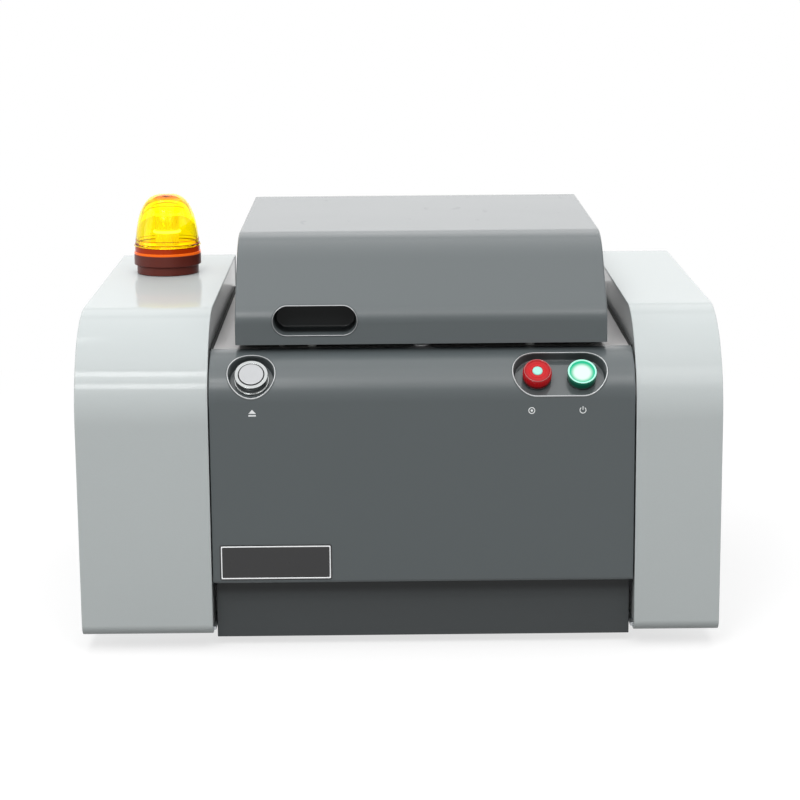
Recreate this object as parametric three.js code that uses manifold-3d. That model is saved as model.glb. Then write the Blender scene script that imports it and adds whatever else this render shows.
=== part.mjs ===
// Benchtop x-ray fluorescence analyzer: two side housings, a rolled front panel with its controls,
// and a hinged lid over a sample chamber. Millimetres, +Z up, -Y is the front.
// The origin is on the floor, under the middle of the footprint.
import * as THREE from 'three';
import { mergeVertices } from 'three/addons/utils/BufferGeometryUtils.js';
import Module from 'manifold-3d';

const wasm = await Module();
wasm.setup();

// Driving dimensions of the whole
const overallWidth = 550;
const overallDepth = 410;
const housingTop = 289;
const housingBottom = 15;
const leftHousingWidth = 113;
const rightHousingWidth = 73.5;
const deckHeight = 259;
const plinthBottom = 8;

// Sheet metal and fits
const sheet = 2;
const seatGap = 0.3;
const runGap = 0.5;
const overrun = 5;

// Side housings
const housingRoll = 88;
const housingFootRadius = 10;
const housingFrontFlange = 40;
const housingRearFlange = 25;
const plateInset = 0.6;
const sideVentCount = 8;
const sideVentLength = 80;
const sideVentWidth = 4;
const sideVentPitch = 12;
const sideVentFromRear = 75;
const sideVentRise = 45;
const cheekHoleRadius = 18;
const cheekHoleRise = 80;

// Base plate, plinth and feet
const basePlate = 3;
const plinthSetback = 20;
const plinthRearSetback = 15;
const plinthSideGap = 2.5;
const plinthTop = 75;
const footRadius = 15;
const footTaper = 2;
const footScrewRadius = 4;
const footScrewDepth = 3;
const footSideInset = 30;
const footFrontInset = 65;
const footRearInset = 45;

// Front panel and its pockets
const panelSetback = 1.5;
const panelRoll = 40;
const panelBottom = 61;
const panelBend = 3;
const panelFlange = 14;
const panelSideGap = 1.4;
const controlTilt = 45;
const pocketDrop = 4.9;
const pocketDepth = 12;
const pocketRadius = 20.3;
const pocketWall = 1.5;
const trayWidth = 80.4;
const buttonFromLeft = 36.9;
const trayFromRight = 64.6;
const lampSpacing = 38.1;
const neckRadius = 11;

// Push-button
const bezelHeight = 10.2;
const bezelRadius = 14.2;
const bezelBarrelRadius = 13.7;
const bezelFlangeRadius = 14.9;
const bezelFlange = 1.2;
const bezelRing = 2.2;
const bezelChamfer = 0.6;
const bezelNeck = 20;
const capRadius = 10.5;
const capHead = 3.8;
const capProud = 0.6;
const capTravel = 3;
const capStemRadius = 5;
const switchRadius = 10;
const switchLength = 18;

// Pilot lamps
const lampRadius = 12.4;
const redLampHeight = 12.3;
const greenLampHeight = 10.2;
const lampFlange = 1.5;
const lampSpigotRadius = 7;
const lampSpigot = 3;
const lampBevel = 1.4;
const greenRim = 2;
const greenRecess = 1.8;
const lampNeck = 14;
const lampBodyRadius = 10;
const lampBodyLength = 32;

// Deck, its rails and the sample chamber
const deckSeam = 0.8;
const deckSideGap = 2.8;
const deckFrontFlange = 13;
const deckRearSetback = 6;
const deckRearFlange = 10;
const railWidth = 20;
const railHeight = 25;
const chamberSideInset = 21;
const chamberFrontInset = 51;
const chamberRearInset = 44;
const chamberDepth = 43;
const tubFlange = 14;
const tubFlangeSheet = 1.5;
const windowHoleRadius = 22;
const windowRingRadius = 30;
const windowRingHeight = 3;
const windowBore = 14;

// Lid
const lidSideGap = 22.75;
const lidFrontSetback = 29;
const lidRearSetback = 26;
const lidHeight = 85.8;
const lidLift = 5.5;
const lidCrownRadius = 70;
const lidCrownSetback = 91;
const lidNoseRadius = 20;
const lidSlope = 43;
const lidFlange = 10;
const slotWidth = 73;
const slotHeight = 25.5;
const slotFromLeft = 68.2;
const slotRise = 20.3;
const slotDepth = 30;
const cupWall = 1.5;
const linerDrop = 32.3;
const linerMargin = 6;
const gasketMargin = 5;
const gasketWidth = 8;
const bumperRadius = 4;
const bumperInset = 65;
const bumperSetback = 4.2;

// Lid hinges
const hingeInset = 55;
const hingeSetback = 14;
const hingeRise = 11;
const hingeWidth = 40;
const hingeEar = 5;
const hingeEarRadius = 7;
const hingeBase = 3;
const hingeBaseRearGap = 0.5;
const hingePinRadius = 3;
const hingePinHead = 1.6;
const hingePinHeadRadius = 4.6;
const knuckleRadius = 6.5;
const armPlate = 3;
const armPlateHeight = 36;
const armPlateLift = 0.3;

// Lid lock and interlock switch
const lockSetback = 11.7;
const magnetRadius = 8.5;
const magnetLength = 32;
const magnetProud = 1.3;
const armatureWidth = 24;
const armatureDepth = 14;
const plungerInset = 18;
const plungerRadius = 2.5;
const plungerLength = 18;
const interlockWidth = 16;
const interlockDepth = 14;
const interlockHeight = 24;

// X-ray optics under the chamber
const opticsHalfWidth = 45;
const opticsHeight = 54;
const opticsRearHalf = 30;
const opticsArm = 6;
const opticsArmHalf = 20;
const opticsArmFrom = 30;
const opticsArmEndInset = 40;
const beamTilt = 45;
const sightBore = 12;
const tubeNoseRadius = 12;
const tubeNoseStart = 82;
const tubeBodyStart = 100;
const tubeFloorGap = 37.3;
const tubeSideGap = 23.35;
const tubeBodyRadius = 34;
const beamBore = 10;
const wheelStart = 76;
const wheelThickness = 3;
const wheelRadius = 36;
const wheelOffset = 26;
const wheelHoleRadius = 6;
const wheelHoleCount = 6;
const motorShaftRadius = 2;
const motorRadius = 11;
const detectorNoseRadius = 8;
const detectorNoseStart = 50;
const detectorBodyStart = 100;
const detectorBodyEnd = 172;
const detectorSide = 44;

// Electronics
const hvFromLeft = 32;
const hvWidth = 150;
const hvTubeGap = 21;
const hvInletGap = 15;
const hvHeight = 80;
const supplyInset = 12;
const supplyCheekGap = 17;
const supplyRearGap = 35;
const supplyDepth = 170;
const supplyHeight = 55;
const boardPost = 10;
const boardPostRadius = 4;
const boardThickness = 1.6;
const boardEndInset = 85;
const boardRise = 39.7;
const boardDrop = 69;
const boardPostInset = 10;

// Rear panel, fan and mains inlet
const rearPanelSetback = 10;
const fanSide = 80;
const fanBore = 38.5;
const fanDepth = 25;
const fanFromRight = 81;
const fanDrop = 92;
const fanHubRadius = 16;
const fanSpider = 3;
const fanStrut = 6;
const fanPinRadius = 2.7;
const fanPin = 7;
const rotorHubRadius = 14;
const rotorLength = 18;
const rotorRadius = 36.5;
const rotorBladeCount = 7;
const rotorChord = 18;
const rotorBlade = 1.6;
const rotorPitch = 50;
const guardWire = 2.4;
const guardEarRadius = 4.5;
const guardScrewSpacing = 71.5;
const inletFromLeft = 50;
const inletRise = 45.7;
const inletWidth = 31;
const inletHeight = 60;
const inletLip = 2;
const inletFlange = 2.5;
const inletDepth = 30;
const socketWidth = 24;
const socketHeight = 17;
const socketDepth = 16;
const socketDrop = 13;
const socketPinWidth = 2;
const socketPinHeight = 4;
const socketPinLength = 13;
const socketPinSpacing = 14;
const socketEarthLift = 4;
const fuseWidth = 22.4;
const fuseHeight = 7;
const fuseLift = 2.6;
const fuseDepth = 18;
const fuseProud = 1;
const rockerWidth = 20;
const rockerHeight = 11.2;
const rockerDrop = 11.5;
const rockerWindow = 12.6;
const rockerPocket = 14;
const rockerTilt = 10;
const rockerRise = 2.6;
const rockerDish = 1;
const rockerRoot = 4;
const rearVentCount = 9;
const rearVentLength = 70;
const rearVentWidth = 4;
const rearVentPitch = 9;
const rearVentFromLeft = 75;
const rearVentDrop = 35;

// Beacon on the left housing
const beaconFromSide = 55.5;
const beaconFromRear = 119;
const beaconCableRadius = 4;
const beaconFootRadius = 29.4;
const beaconRingRadius = 31.9;
const beaconFoot = 8.2;
const beaconRing = 9.1;
const beaconFloor = 3;
const beaconCollar = 3;
const beaconCollarWall = 2;
const beaconBandHeight = 13.4;
const beaconDomeRadius = 30.4;
const beaconDomeHeight = 45;
const beaconWall = 1.8;
const beaconGroove = 0.9;
const beaconTowerRadius = 11;
const beaconTowerHeight = 44;
const beaconTowerFoot = 3;
const domeTaperShare = 0.17;
const domePower = 3;
const bandShares = [0.26, 0.31, 0.63, 0.68, 0.8, 0.86];

// Turns in degrees
const quarterTurn = 90;
const halfTurn = 180;
const fullTurn = 360;

// Facets of round shapes
const rollSteps = 14;
const bendSteps = 4;
const roundSides = 20;
const fineSides = 28;
const domeSteps = 8;

// Places that follow from the driving dimensions
const leftX = -overallWidth / 2;
const rightX = overallWidth / 2;
const frontY = -overallDepth / 2;
const rearY = overallDepth / 2;
const sectionLeft = leftX + leftHousingWidth;
const sectionRight = rightX - rightHousingWidth;
const middleX = (sectionLeft + sectionRight) / 2;
const baseBottom = housingBottom + sheet + seatGap;
const baseTop = baseBottom + basePlate;
const plinthLeft = sectionLeft + plinthSideGap;
const plinthRight = sectionRight - plinthSideGap;
const plinthFront = frontY + plinthSetback;
const plinthRear = rearY - plinthRearSetback;
const panelFace = frontY + panelSetback;
const rollY = panelFace + panelRoll;
const rollZ = deckHeight - panelRoll;
const deckFront = rollY + sheet + deckSeam;
const deckRear = rearY - deckRearSetback;
const deckUnderside = deckHeight - sheet;
const lidLeft = sectionLeft + lidSideGap;
const lidRight = sectionRight - lidSideGap;
const lidFront = frontY + lidFrontSetback;
const lidRear = rearY - lidRearSetback;
const lidBottom = deckHeight + lidLift;
const lidTop = lidBottom + lidHeight;
const linerBottom = lidBottom + sheet + seatGap;
const linerTop = lidTop - linerDrop;
const chamberLeft = lidLeft + chamberSideInset;
const chamberRight = lidRight - chamberSideInset;
const chamberFront = lidFront + chamberFrontInset;
const chamberRear = lidRear - chamberRearInset;
const chamberY = (chamberFront + chamberRear) / 2;
const tubFloor = deckHeight - chamberDepth;
const tubFlangeBottom = deckHeight + seatGap;
const tubFlangeTop = tubFlangeBottom + tubFlangeSheet;
const plungerX = chamberLeft + plungerInset;
const hingeY = rearY - hingeSetback;
const hingeZ = deckHeight + hingeRise;
const lockY = deckFront + lockSetback;
const pocketFloor = -pocketDepth;
const neckBore = neckRadius + seatGap;
const rearPanelY = rearY - rearPanelSetback;
const rearPanelInner = rearPanelY - sheet;
const beaconX = leftX + beaconFromSide;
const beaconY = rearY - beaconFromRear;
const fanX = sectionRight - fanFromRight;
const fanZ = deckUnderside - fanDrop;
const inletX = sectionLeft + inletFromLeft;
const inletZ = baseTop + inletRise;
const rockerLift = inletHeight / 2 - rockerDrop;
const tubeRoom = Math.min(tubFloor - baseTop - tubeFloorGap, middleX - sectionLeft - tubeSideGap);
const tubeReach = tubeRoom / Math.sin(THREE.MathUtils.degToRad(beamTilt));
const tubeBodyEnd = tubeReach - tubeBodyRadius;
const opticsArmTo = tubeBodyEnd - opticsArmEndInset;

const finishes = {
  paleGrey: { color: 0xa6adad, roughness: 0.3, metalness: 0 },
  darkGrey: { color: 0x565c5d, roughness: 0.3, metalness: 0 },
  black: { color: 0x1c1d1e, roughness: 0.5, metalness: 0 },
  steel: { color: 0xb9bdbf, roughness: 0.35, metalness: 1 },
  aluminium: { color: 0xc4c7c9, roughness: 0.45, metalness: 1 },
  rubber: { color: 0x202020, roughness: 0.9, metalness: 0 },
  buffer: { color: 0xcfd2d0, roughness: 0.6, metalness: 0 },
  silver: { color: 0xd5dada, roughness: 0.25, metalness: 1 },
  redLens: { color: 0xd01818, roughness: 0.15, metalness: 0 },
  greenLens: { color: 0x5df0b4, roughness: 0.15, metalness: 0 },
  amberLens: { color: 0xffb400, roughness: 0.1, metalness: 0 },
  brown: { color: 0x55302a, roughness: 0.45, metalness: 0 },
  board: { color: 0x1f5a3a, roughness: 0.6, metalness: 0 },
};

const analyzer = new THREE.Group();

function addPiece(name, geometry, finish, parent = analyzer) {
  const mesh = new THREE.Mesh(geometry, new THREE.MeshStandardMaterial(finishes[finish]));
  mesh.name = name;
  parent.add(mesh);
  return mesh;
}

// Shape helpers: points are pairs, and angles are in degrees
function arc(u, v, radius, from, to, steps) {
  const points = [];
  for (let i = 0; i <= steps; i += 1) {
    const angle = THREE.MathUtils.degToRad(from + ((to - from) * i) / steps);
    points.push([u + radius * Math.cos(angle), v + radius * Math.sin(angle)]);
  }
  return points;
}

function circle(u, v, radius, sides) {
  return arc(u, v, radius, 0, fullTurn, sides).slice(0, sides);
}

function rectangle(u0, v0, u1, v1) {
  return [[u0, v0], [u1, v0], [u1, v1], [u0, v1]];
}

function obround(u, v, length, width, steps) {
  const radius = width / 2;
  const reach = (length - width) / 2;
  return [
    ...arc(u + reach, v, radius, -quarterTurn, quarterTurn, steps),
    ...arc(u - reach, v, radius, quarterTurn, halfTurn + quarterTurn, steps),
  ];
}

function flat(points, holes = []) {
  const toVectors = (pairs) => pairs.map(([u, v]) => new THREE.Vector2(u, v));
  const shape = new THREE.Shape(toVectors(points));
  holes.forEach((hole) => shape.holes.push(new THREE.Path(toVectors(hole))));
  return shape;
}

function extrude(shape, depth) {
  return new THREE.ExtrudeGeometry(shape, { depth, bevelEnabled: false });
}

// A shape drawn in Y and Z, extruded from x0 to x1
function alongX(shape, x0, x1) {
  const turn = new THREE.Matrix4().set(0, 0, 1, x0, 1, 0, 0, 0, 0, 1, 0, 0, 0, 0, 0, 1);
  return extrude(shape, x1 - x0).applyMatrix4(turn);
}

// A shape drawn in X and Z, extruded from y0 to y1
function alongY(shape, y0, y1) {
  const turn = new THREE.Matrix4().set(1, 0, 0, 0, 0, 0, -1, y1, 0, 1, 0, 0, 0, 0, 0, 1);
  return extrude(shape, y1 - y0).applyMatrix4(turn);
}

// A shape drawn in X and Y, extruded from z0 to z1
function alongZ(shape, z0, z1) {
  return extrude(shape, z1 - z0).translate(0, 0, z0);
}

function block(x0, x1, y0, y1, z0, z1) {
  return alongZ(flat(rectangle(x0, y0, x1, y1)), z0, z1);
}

// A profile of radius and height pairs, turned about the Z axis. It ends on the axis or is a loop.
function turned(profile, sides) {
  const onAxis = profile[0][0] === 0 && profile[profile.length - 1][0] === 0;
  const loop = onAxis ? profile : [...profile, profile[0]];
  const area = loop.reduce((sum, [r, z], i) => {
    const [nextR, nextZ] = loop[(i + 1) % loop.length];
    return sum + r * nextZ - nextR * z;
  }, 0);
  const ordered = area > 0 ? loop : [...loop].reverse();
  const points = ordered.map(([r, z]) => new THREE.Vector2(r, z));
  return new THREE.LatheGeometry(points, sides).rotateX(Math.PI / 2);
}

function rod(radius, z0, z1, sides = roundSides) {
  return turned([[0, z0], [radius, z0], [radius, z1], [0, z1]], sides);
}

// Joins and cuts
function toSolid(geometry) {
  const bare = geometry.clone();
  bare.deleteAttribute('normal');
  bare.deleteAttribute('uv');
  const merged = mergeVertices(bare);
  const corners = merged.index.array;
  const triangles = [];
  for (let i = 0; i < corners.length; i += 3) {
    const [a, b, c] = corners.slice(i, i + 3);
    if (a !== b && b !== c && c !== a) {
      triangles.push(a, b, c);
    }
  }
  const vertProperties = merged.attributes.position.array;
  const triVerts = Uint32Array.from(triangles);
  return new wasm.Manifold(new wasm.Mesh({ numProp: 3, vertProperties, triVerts }));
}

function toGeometry(manifold) {
  const mesh = manifold.getMesh();
  const geometry = new THREE.BufferGeometry();
  geometry.setAttribute('position', new THREE.BufferAttribute(mesh.vertProperties, 3));
  geometry.setIndex(new THREE.BufferAttribute(mesh.triVerts, 1));
  geometry.computeVertexNormals();
  return geometry;
}

function join(...geometries) {
  return toGeometry(geometries.map(toSolid).reduce((all, one) => all.add(one)));
}

function cut(geometry, ...tools) {
  return toGeometry(tools.map(toSolid).reduce((rest, tool) => rest.subtract(tool), toSolid(geometry)));
}

function common(first, second) {
  return toGeometry(toSolid(first).intersect(toSolid(second)));
}

// Side housings
function housingEdge(margin, bottom) {
  const footY = frontY + housingFootRadius;
  const footZ = housingBottom + housingFootRadius;
  const footInner = housingFootRadius - margin;
  const footAngle = THREE.MathUtils.radToDeg(Math.asin(Math.min(1, (footZ - bottom) / footInner)));
  return [
    [rearY - margin, bottom],
    [rearY - margin, housingTop - margin],
    ...arc(frontY + housingRoll, housingTop - housingRoll, housingRoll - margin, quarterTurn, halfTurn,
      rollSteps),
    ...arc(footY, footZ, footInner, halfTurn, halfTurn + footAngle, bendSteps),
  ];
}

function wrapShape() {
  const outer = housingEdge(0, housingBottom);
  const inner = housingEdge(sheet, housingBottom + sheet);
  return flat([
    [rearY - housingRearFlange, housingBottom],
    ...outer,
    [frontY + housingFrontFlange, housingBottom],
    [frontY + housingFrontFlange, housingBottom + sheet],
    ...inner.reverse(),
    [rearY - housingRearFlange, housingBottom + sheet],
  ]);
}

function sideVents() {
  const y = rearY - sideVentFromRear;
  const places = Array.from({ length: sideVentCount }, (_, i) => baseTop + sideVentRise + i * sideVentPitch);
  return places.map((z) => obround(y, z, sideVentLength, sideVentWidth, bendSteps));
}

function addHousing(side, outerX, innerX) {
  const towards = Math.sign(innerX - outerX);
  const span = (a, b) => [Math.min(a, b), Math.max(a, b)];
  const wrap = alongX(wrapShape(), ...span(outerX, innerX));
  const plateX = outerX + towards * plateInset;
  const cheekX = innerX - towards * plateInset;
  const margin = sheet + seatGap;
  const plate = flat(housingEdge(margin, baseBottom), sideVents());
  const cheekHole = circle(0, baseTop + cheekHoleRise, cheekHoleRadius, roundSides);
  const cheek = flat(housingEdge(margin, baseTop + seatGap), [cheekHole]);
  addPiece(`${side}_side_plate`, alongX(plate, ...span(plateX, plateX + towards * sheet)), 'paleGrey');
  addPiece(`${side}_cheek_plate`, alongX(cheek, ...span(cheekX, cheekX - towards * sheet)), 'paleGrey');
  return wrap;
}

function addHousings() {
  const cableHole = rod(beaconCableRadius, housingTop - sheet - overrun, housingTop + overrun);
  cableHole.translate(beaconX, beaconY, 0);
  addPiece('left_housing_wrap', cut(addHousing('left', leftX, sectionLeft), cableHole), 'paleGrey');
  addPiece('right_housing_wrap', addHousing('right', rightX, sectionRight), 'paleGrey');
}

// Base plate, plinth and feet
function addBase() {
  const side = rightX - plateInset - sheet - seatGap;
  const front = frontY + housingFootRadius;
  const rear = rearY - sheet - seatGap;
  const notch = plinthFront + sheet + seatGap;
  const plate = flat([
    [-side, rear], [-side, front],
    [plinthLeft - seatGap, front], [plinthLeft - seatGap, notch],
    [plinthRight + seatGap, notch], [plinthRight + seatGap, front],
    [side, front], [side, rear],
  ]);
  addPiece('base_plate', alongZ(plate, baseBottom, baseTop), 'steel');
  const top = baseBottom - seatGap;
  const tray = block(plinthLeft, plinthRight, plinthFront, plinthRear, plinthBottom, top);
  const hollow = block(plinthLeft + sheet, plinthRight - sheet, plinthFront + sheet, plinthRear - sheet,
    plinthBottom + sheet, top + overrun);
  const wall = block(plinthLeft, plinthRight, plinthFront, plinthFront + sheet, plinthBottom, plinthTop);
  addPiece('plinth', join(cut(tray, hollow), wall), 'darkGrey');
}

function addFeet() {
  const top = plinthBottom - seatGap;
  const foot = [[0, footScrewDepth], [footScrewRadius, footScrewDepth], [footScrewRadius, 0],
    [footRadius - footTaper, 0], [footRadius, top], [0, top]];
  const rows = { front: plinthFront + footFrontInset, rear: plinthRear - footRearInset };
  const columns = { left: plinthLeft + footSideInset, right: plinthRight - footSideInset };
  Object.entries(rows).forEach(([row, y]) => {
    Object.entries(columns).forEach(([column, x]) => {
      addPiece(`foot_${row}_${column}`, turned(foot, roundSides), 'rubber').position.set(x, y, 0);
    });
  });
}

// A group whose +Z points out of the panel's roll, at the middle of a control pocket
function controlGroup(name, x) {
  const tilt = THREE.MathUtils.degToRad(controlTilt);
  const group = new THREE.Group();
  group.name = name;
  const y = rollY - panelRoll * Math.cos(tilt) - pocketDrop * Math.sin(tilt);
  const z = rollZ + panelRoll * Math.sin(tilt) - pocketDrop * Math.cos(tilt);
  group.position.set(x, y, z);
  group.rotation.x = Math.PI / 2 - tilt;
  group.updateMatrix();
  analyzer.add(group);
  return group;
}

// The panel's roll as a solid, in the frame of a control group
function rollSolid() {
  const reach = trayWidth;
  return alongX(flat(circle(pocketDrop, -panelRoll, panelRoll, rollSteps * 4)), -reach, reach);
}

const buttonGroup = controlGroup('button_place', sectionLeft + buttonFromLeft);
const lampGroup = controlGroup('lamp_place', sectionRight - trayFromRight);

function addFrontPanel() {
  const left = sectionLeft + panelSideGap;
  const right = sectionRight - panelSideGap;
  const reach = plinthFront - seatGap;
  const flangeEnd = deckHeight - panelFlange;
  const roll = (radius) => arc(rollY, rollZ, radius, quarterTurn, halfTurn, rollSteps);
  const bend = (radius) => arc(panelFace + panelBend, panelBottom + panelBend, radius, halfTurn,
    halfTurn + quarterTurn, bendSteps);
  const bent = flat([
    ...roll(panelRoll), ...bend(panelBend),
    [reach, panelBottom], [reach, panelBottom + sheet],
    ...bend(panelBend - sheet).reverse(), ...roll(panelRoll - sheet).reverse(),
    [rollY, flangeEnd], [rollY + sheet, flangeEnd], [rollY + sheet, deckHeight],
  ]);
  const deep = pocketFloor - pocketWall - overrun;
  const buttonHole = rod(pocketRadius + seatGap, deep, overrun, fineSides).applyMatrix4(buttonGroup.matrix);
  const trayEdge = obround(0, 0, trayWidth + 2 * seatGap, 2 * (pocketRadius + seatGap), rollSteps);
  const lampHole = alongZ(flat(trayEdge), deep, overrun).applyMatrix4(lampGroup.matrix);
  addPiece('front_panel', cut(alongX(bent, left, right), buttonHole, lampHole), 'darkGrey');
}

function addPockets() {
  const inner = pocketRadius - pocketWall;
  const under = pocketFloor - pocketWall;
  const cup = turned([[neckBore, under], [pocketRadius, under], [pocketRadius, overrun], [inner, overrun],
    [inner, pocketFloor], [neckBore, pocketFloor]], fineSides);
  addPiece('button_cup', common(cup, rollSolid()), 'darkGrey', buttonGroup);
  const outside = alongZ(flat(obround(0, 0, trayWidth, 2 * pocketRadius, rollSteps)), under, overrun);
  const inside = alongZ(flat(obround(0, 0, trayWidth - 2 * pocketWall, 2 * inner, rollSteps)),
    pocketFloor, 2 * overrun);
  const bores = [-1, 1].map((way) => rod(neckBore, under - overrun, overrun)
    .translate((way * lampSpacing) / 2, 0, 0));
  addPiece('lamp_tray', common(cut(outside, inside, ...bores), rollSolid()), 'darkGrey', lampGroup);
}

// Push-button: a bezel whose neck and switch body are one with it, and the moving cap
function addButton() {
  const seat = pocketFloor + seatGap;
  const top = pocketFloor + bezelHeight;
  const neckEnd = pocketFloor - bezelNeck;
  const capBore = capRadius + runGap;
  const stemBore = capStemRadius + runGap;
  const capUnder = top + capProud - capHead;
  const shelf = capUnder - capTravel - runGap;
  const switchEnd = neckEnd - switchLength;
  addPiece('button_bezel', turned([
    [0, switchEnd], [switchRadius, switchEnd], [switchRadius, neckEnd], [neckRadius, neckEnd],
    [neckRadius, seat], [bezelFlangeRadius, seat],
    [bezelFlangeRadius, seat + bezelFlange], [bezelBarrelRadius, seat + bezelFlange],
    [bezelBarrelRadius, top - bezelRing], [bezelRadius, top - bezelRing + bezelChamfer],
    [bezelRadius, top - bezelChamfer], [bezelRadius - bezelChamfer, top], [capBore, top],
    [capBore, shelf], [stemBore, shelf], [stemBore, neckEnd], [0, neckEnd]], fineSides),
  'silver', buttonGroup);
  const crown = top + capProud;
  const stemEnd = neckEnd + capTravel + runGap;
  addPiece('open_button_cap', turned([
    [0, stemEnd], [capStemRadius, stemEnd], [capStemRadius, capUnder], [capRadius, capUnder],
    [capRadius, crown - bezelChamfer], [capRadius - bezelChamfer, crown], [0, crown]], fineSides),
  'silver', buttonGroup);
}

// Pilot lamps: a black holder through the tray floor, and a coloured lens on its spigot
function addLamp(colour, x, lensTop, lensProfile) {
  const seat = pocketFloor + seatGap;
  const shelf = seat + lampFlange;
  const spigotTop = shelf + lampSpigot;
  const neckEnd = pocketFloor - lampNeck;
  const bodyEnd = pocketFloor - lampBodyLength;
  const holder = turned([
    [0, bodyEnd], [lampBodyRadius, bodyEnd], [lampBodyRadius, neckEnd], [neckRadius, neckEnd],
    [neckRadius, seat], [lampRadius, seat], [lampRadius, shelf], [lampSpigotRadius, shelf],
    [lampSpigotRadius, spigotTop], [0, spigotTop]], roundSides);
  addPiece(`${colour}_lamp_holder`, holder, 'black', lampGroup).position.x = x;
  const socket = lampSpigotRadius + seatGap;
  const lens = turned([
    [0, spigotTop + seatGap], [socket, spigotTop + seatGap], [socket, shelf + seatGap],
    [lampRadius, shelf + seatGap], ...lensProfile(lensTop)], fineSides);
  addPiece(`${colour}_lamp_lens`, lens, `${colour}Lens`, lampGroup).position.x = x;
}

function addLamps() {
  addLamp('red', -lampSpacing / 2, pocketFloor + redLampHeight, (top) => [
    [lampRadius, top - lampBevel], [lampRadius - lampBevel, top], [0, top]]);
  addLamp('green', lampSpacing / 2, pocketFloor + greenLampHeight, (top) => [
    [lampRadius, top], [lampRadius - greenRim, top], [lampRadius - greenRim, top - greenRecess],
    [0, top - greenRecess]]);
}

// Deck between the housings, carried by two rails on the cheeks
function addDeck() {
  const left = sectionLeft + deckSideGap;
  const right = sectionRight - deckSideGap;
  const bent = flat([
    [deckFront, deckHeight - deckFrontFlange], [deckFront + sheet, deckHeight - deckFrontFlange],
    [deckFront + sheet, deckUnderside], [deckRear - sheet, deckUnderside],
    [deckRear - sheet, deckHeight - deckRearFlange], [deckRear, deckHeight - deckRearFlange],
    [deckRear, deckHeight], [deckFront, deckHeight],
  ]);
  const low = deckUnderside - overrun;
  const high = deckHeight + overrun;
  const opening = block(chamberLeft - seatGap, chamberRight + seatGap, chamberFront - seatGap,
    chamberRear + seatGap, low, high);
  const magnetHole = rod(magnetRadius + seatGap, low, high).translate(middleX, lockY, 0);
  const plungerHole = rod(plungerRadius + seatGap, low, high).translate(plungerX, lockY, 0);
  addPiece('deck', cut(alongX(bent, left, right), opening, magnetHole, plungerHole), 'darkGrey');
}

function addRails() {
  const top = deckUnderside - seatGap;
  const y0 = deckFront + sheet + seatGap;
  const y1 = rearPanelInner - seatGap;
  const rail = (cheekX, way) => {
    const x = cheekX + way * seatGap;
    const angle = flat([[x, top], [x + way * railWidth, top], [x + way * railWidth, top - sheet],
      [x + way * sheet, top - sheet], [x + way * sheet, top - railHeight], [x, top - railHeight]]);
    return alongY(angle, y0, y1);
  };
  addPiece('deck_rail_left', rail(sectionLeft - plateInset, 1), 'black');
  addPiece('deck_rail_right', rail(sectionRight + plateInset, -1), 'black');
}

// Sample chamber: a tub that hangs in the deck's opening, with the measuring window in its floor
function addChamber() {
  const outside = block(chamberLeft, chamberRight, chamberFront, chamberRear, tubFloor - sheet,
    tubFlangeTop);
  const rim = block(chamberLeft - tubFlange, chamberRight + tubFlange, chamberFront - tubFlange,
    chamberRear + tubFlange, tubFlangeBottom, tubFlangeTop);
  const inside = block(chamberLeft + sheet, chamberRight - sheet, chamberFront + sheet, chamberRear - sheet,
    tubFloor, tubFlangeTop + overrun);
  const hole = rod(windowHoleRadius, tubFloor - sheet - overrun, tubFloor + overrun, fineSides);
  hole.translate(middleX, chamberY, 0);
  addPiece('chamber_tub', cut(join(outside, rim), inside, hole), 'aluminium');
  const seat = tubFloor + seatGap;
  const neck = windowHoleRadius - seatGap;
  const neckEnd = tubFloor - sheet + seatGap;
  const ring = turned([[windowBore, neckEnd], [neck, neckEnd], [neck, seat], [windowRingRadius, seat],
    [windowRingRadius, seat + windowRingHeight], [windowBore, seat + windowRingHeight]], fineSides);
  addPiece('window_ring', ring, 'steel').position.set(middleX, chamberY, 0);
}

// Outline of the lid seen from the side, drawn in by a margin
function lidEdge(margin, bottom) {
  const normal = THREE.MathUtils.degToRad(quarterTurn - lidSlope);
  const crownY = lidFront + lidCrownSetback;
  const crownZ = lidTop - lidCrownRadius;
  const noseY = lidFront + lidNoseRadius;
  const along = (noseY - crownY) * Math.cos(normal) + lidCrownRadius - lidNoseRadius;
  const noseZ = crownZ + along / Math.sin(normal);
  return [
    [lidRear - margin, bottom],
    [lidRear - margin, lidTop - margin],
    ...arc(crownY, crownZ, lidCrownRadius - margin, quarterTurn, quarterTurn + lidSlope, rollSteps / 2),
    ...arc(noseY, noseZ, lidNoseRadius - margin, quarterTurn + lidSlope, halfTurn, bendSteps + 1),
    [lidFront + margin, bottom],
  ];
}

const lidOuter = alongX(flat(lidEdge(0, lidBottom)), lidLeft, lidRight);

function slotSolid(margin, y0, y1) {
  const x = lidLeft + slotFromLeft;
  const z = lidBottom + slotRise;
  return alongY(flat(obround(x, z, slotWidth - 2 * margin, slotHeight - 2 * margin, rollSteps / 2)), y0, y1);
}

function addLid() {
  const hollow = alongX(flat(lidEdge(sheet, lidBottom - overrun)), lidLeft + sheet, lidRight - sheet);
  const slot = slotSolid(0, lidFront - overrun, lidFront + slotDepth + overrun);
  const flange = block(lidLeft, lidRight, lidFront, lidFront + lidFlange, lidBottom, lidBottom + sheet);
  addPiece('lid_shell', join(cut(lidOuter, hollow, slot), flange), 'darkGrey');
  const cupSolid = slotSolid(seatGap, lidFront - overrun, lidFront + slotDepth);
  const cupHollow = slotSolid(seatGap + cupWall, lidFront - 2 * overrun, lidFront + slotDepth - cupWall);
  addPiece('handle_cup', common(cut(cupSolid, cupHollow), lidOuter), 'black');
}

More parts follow.
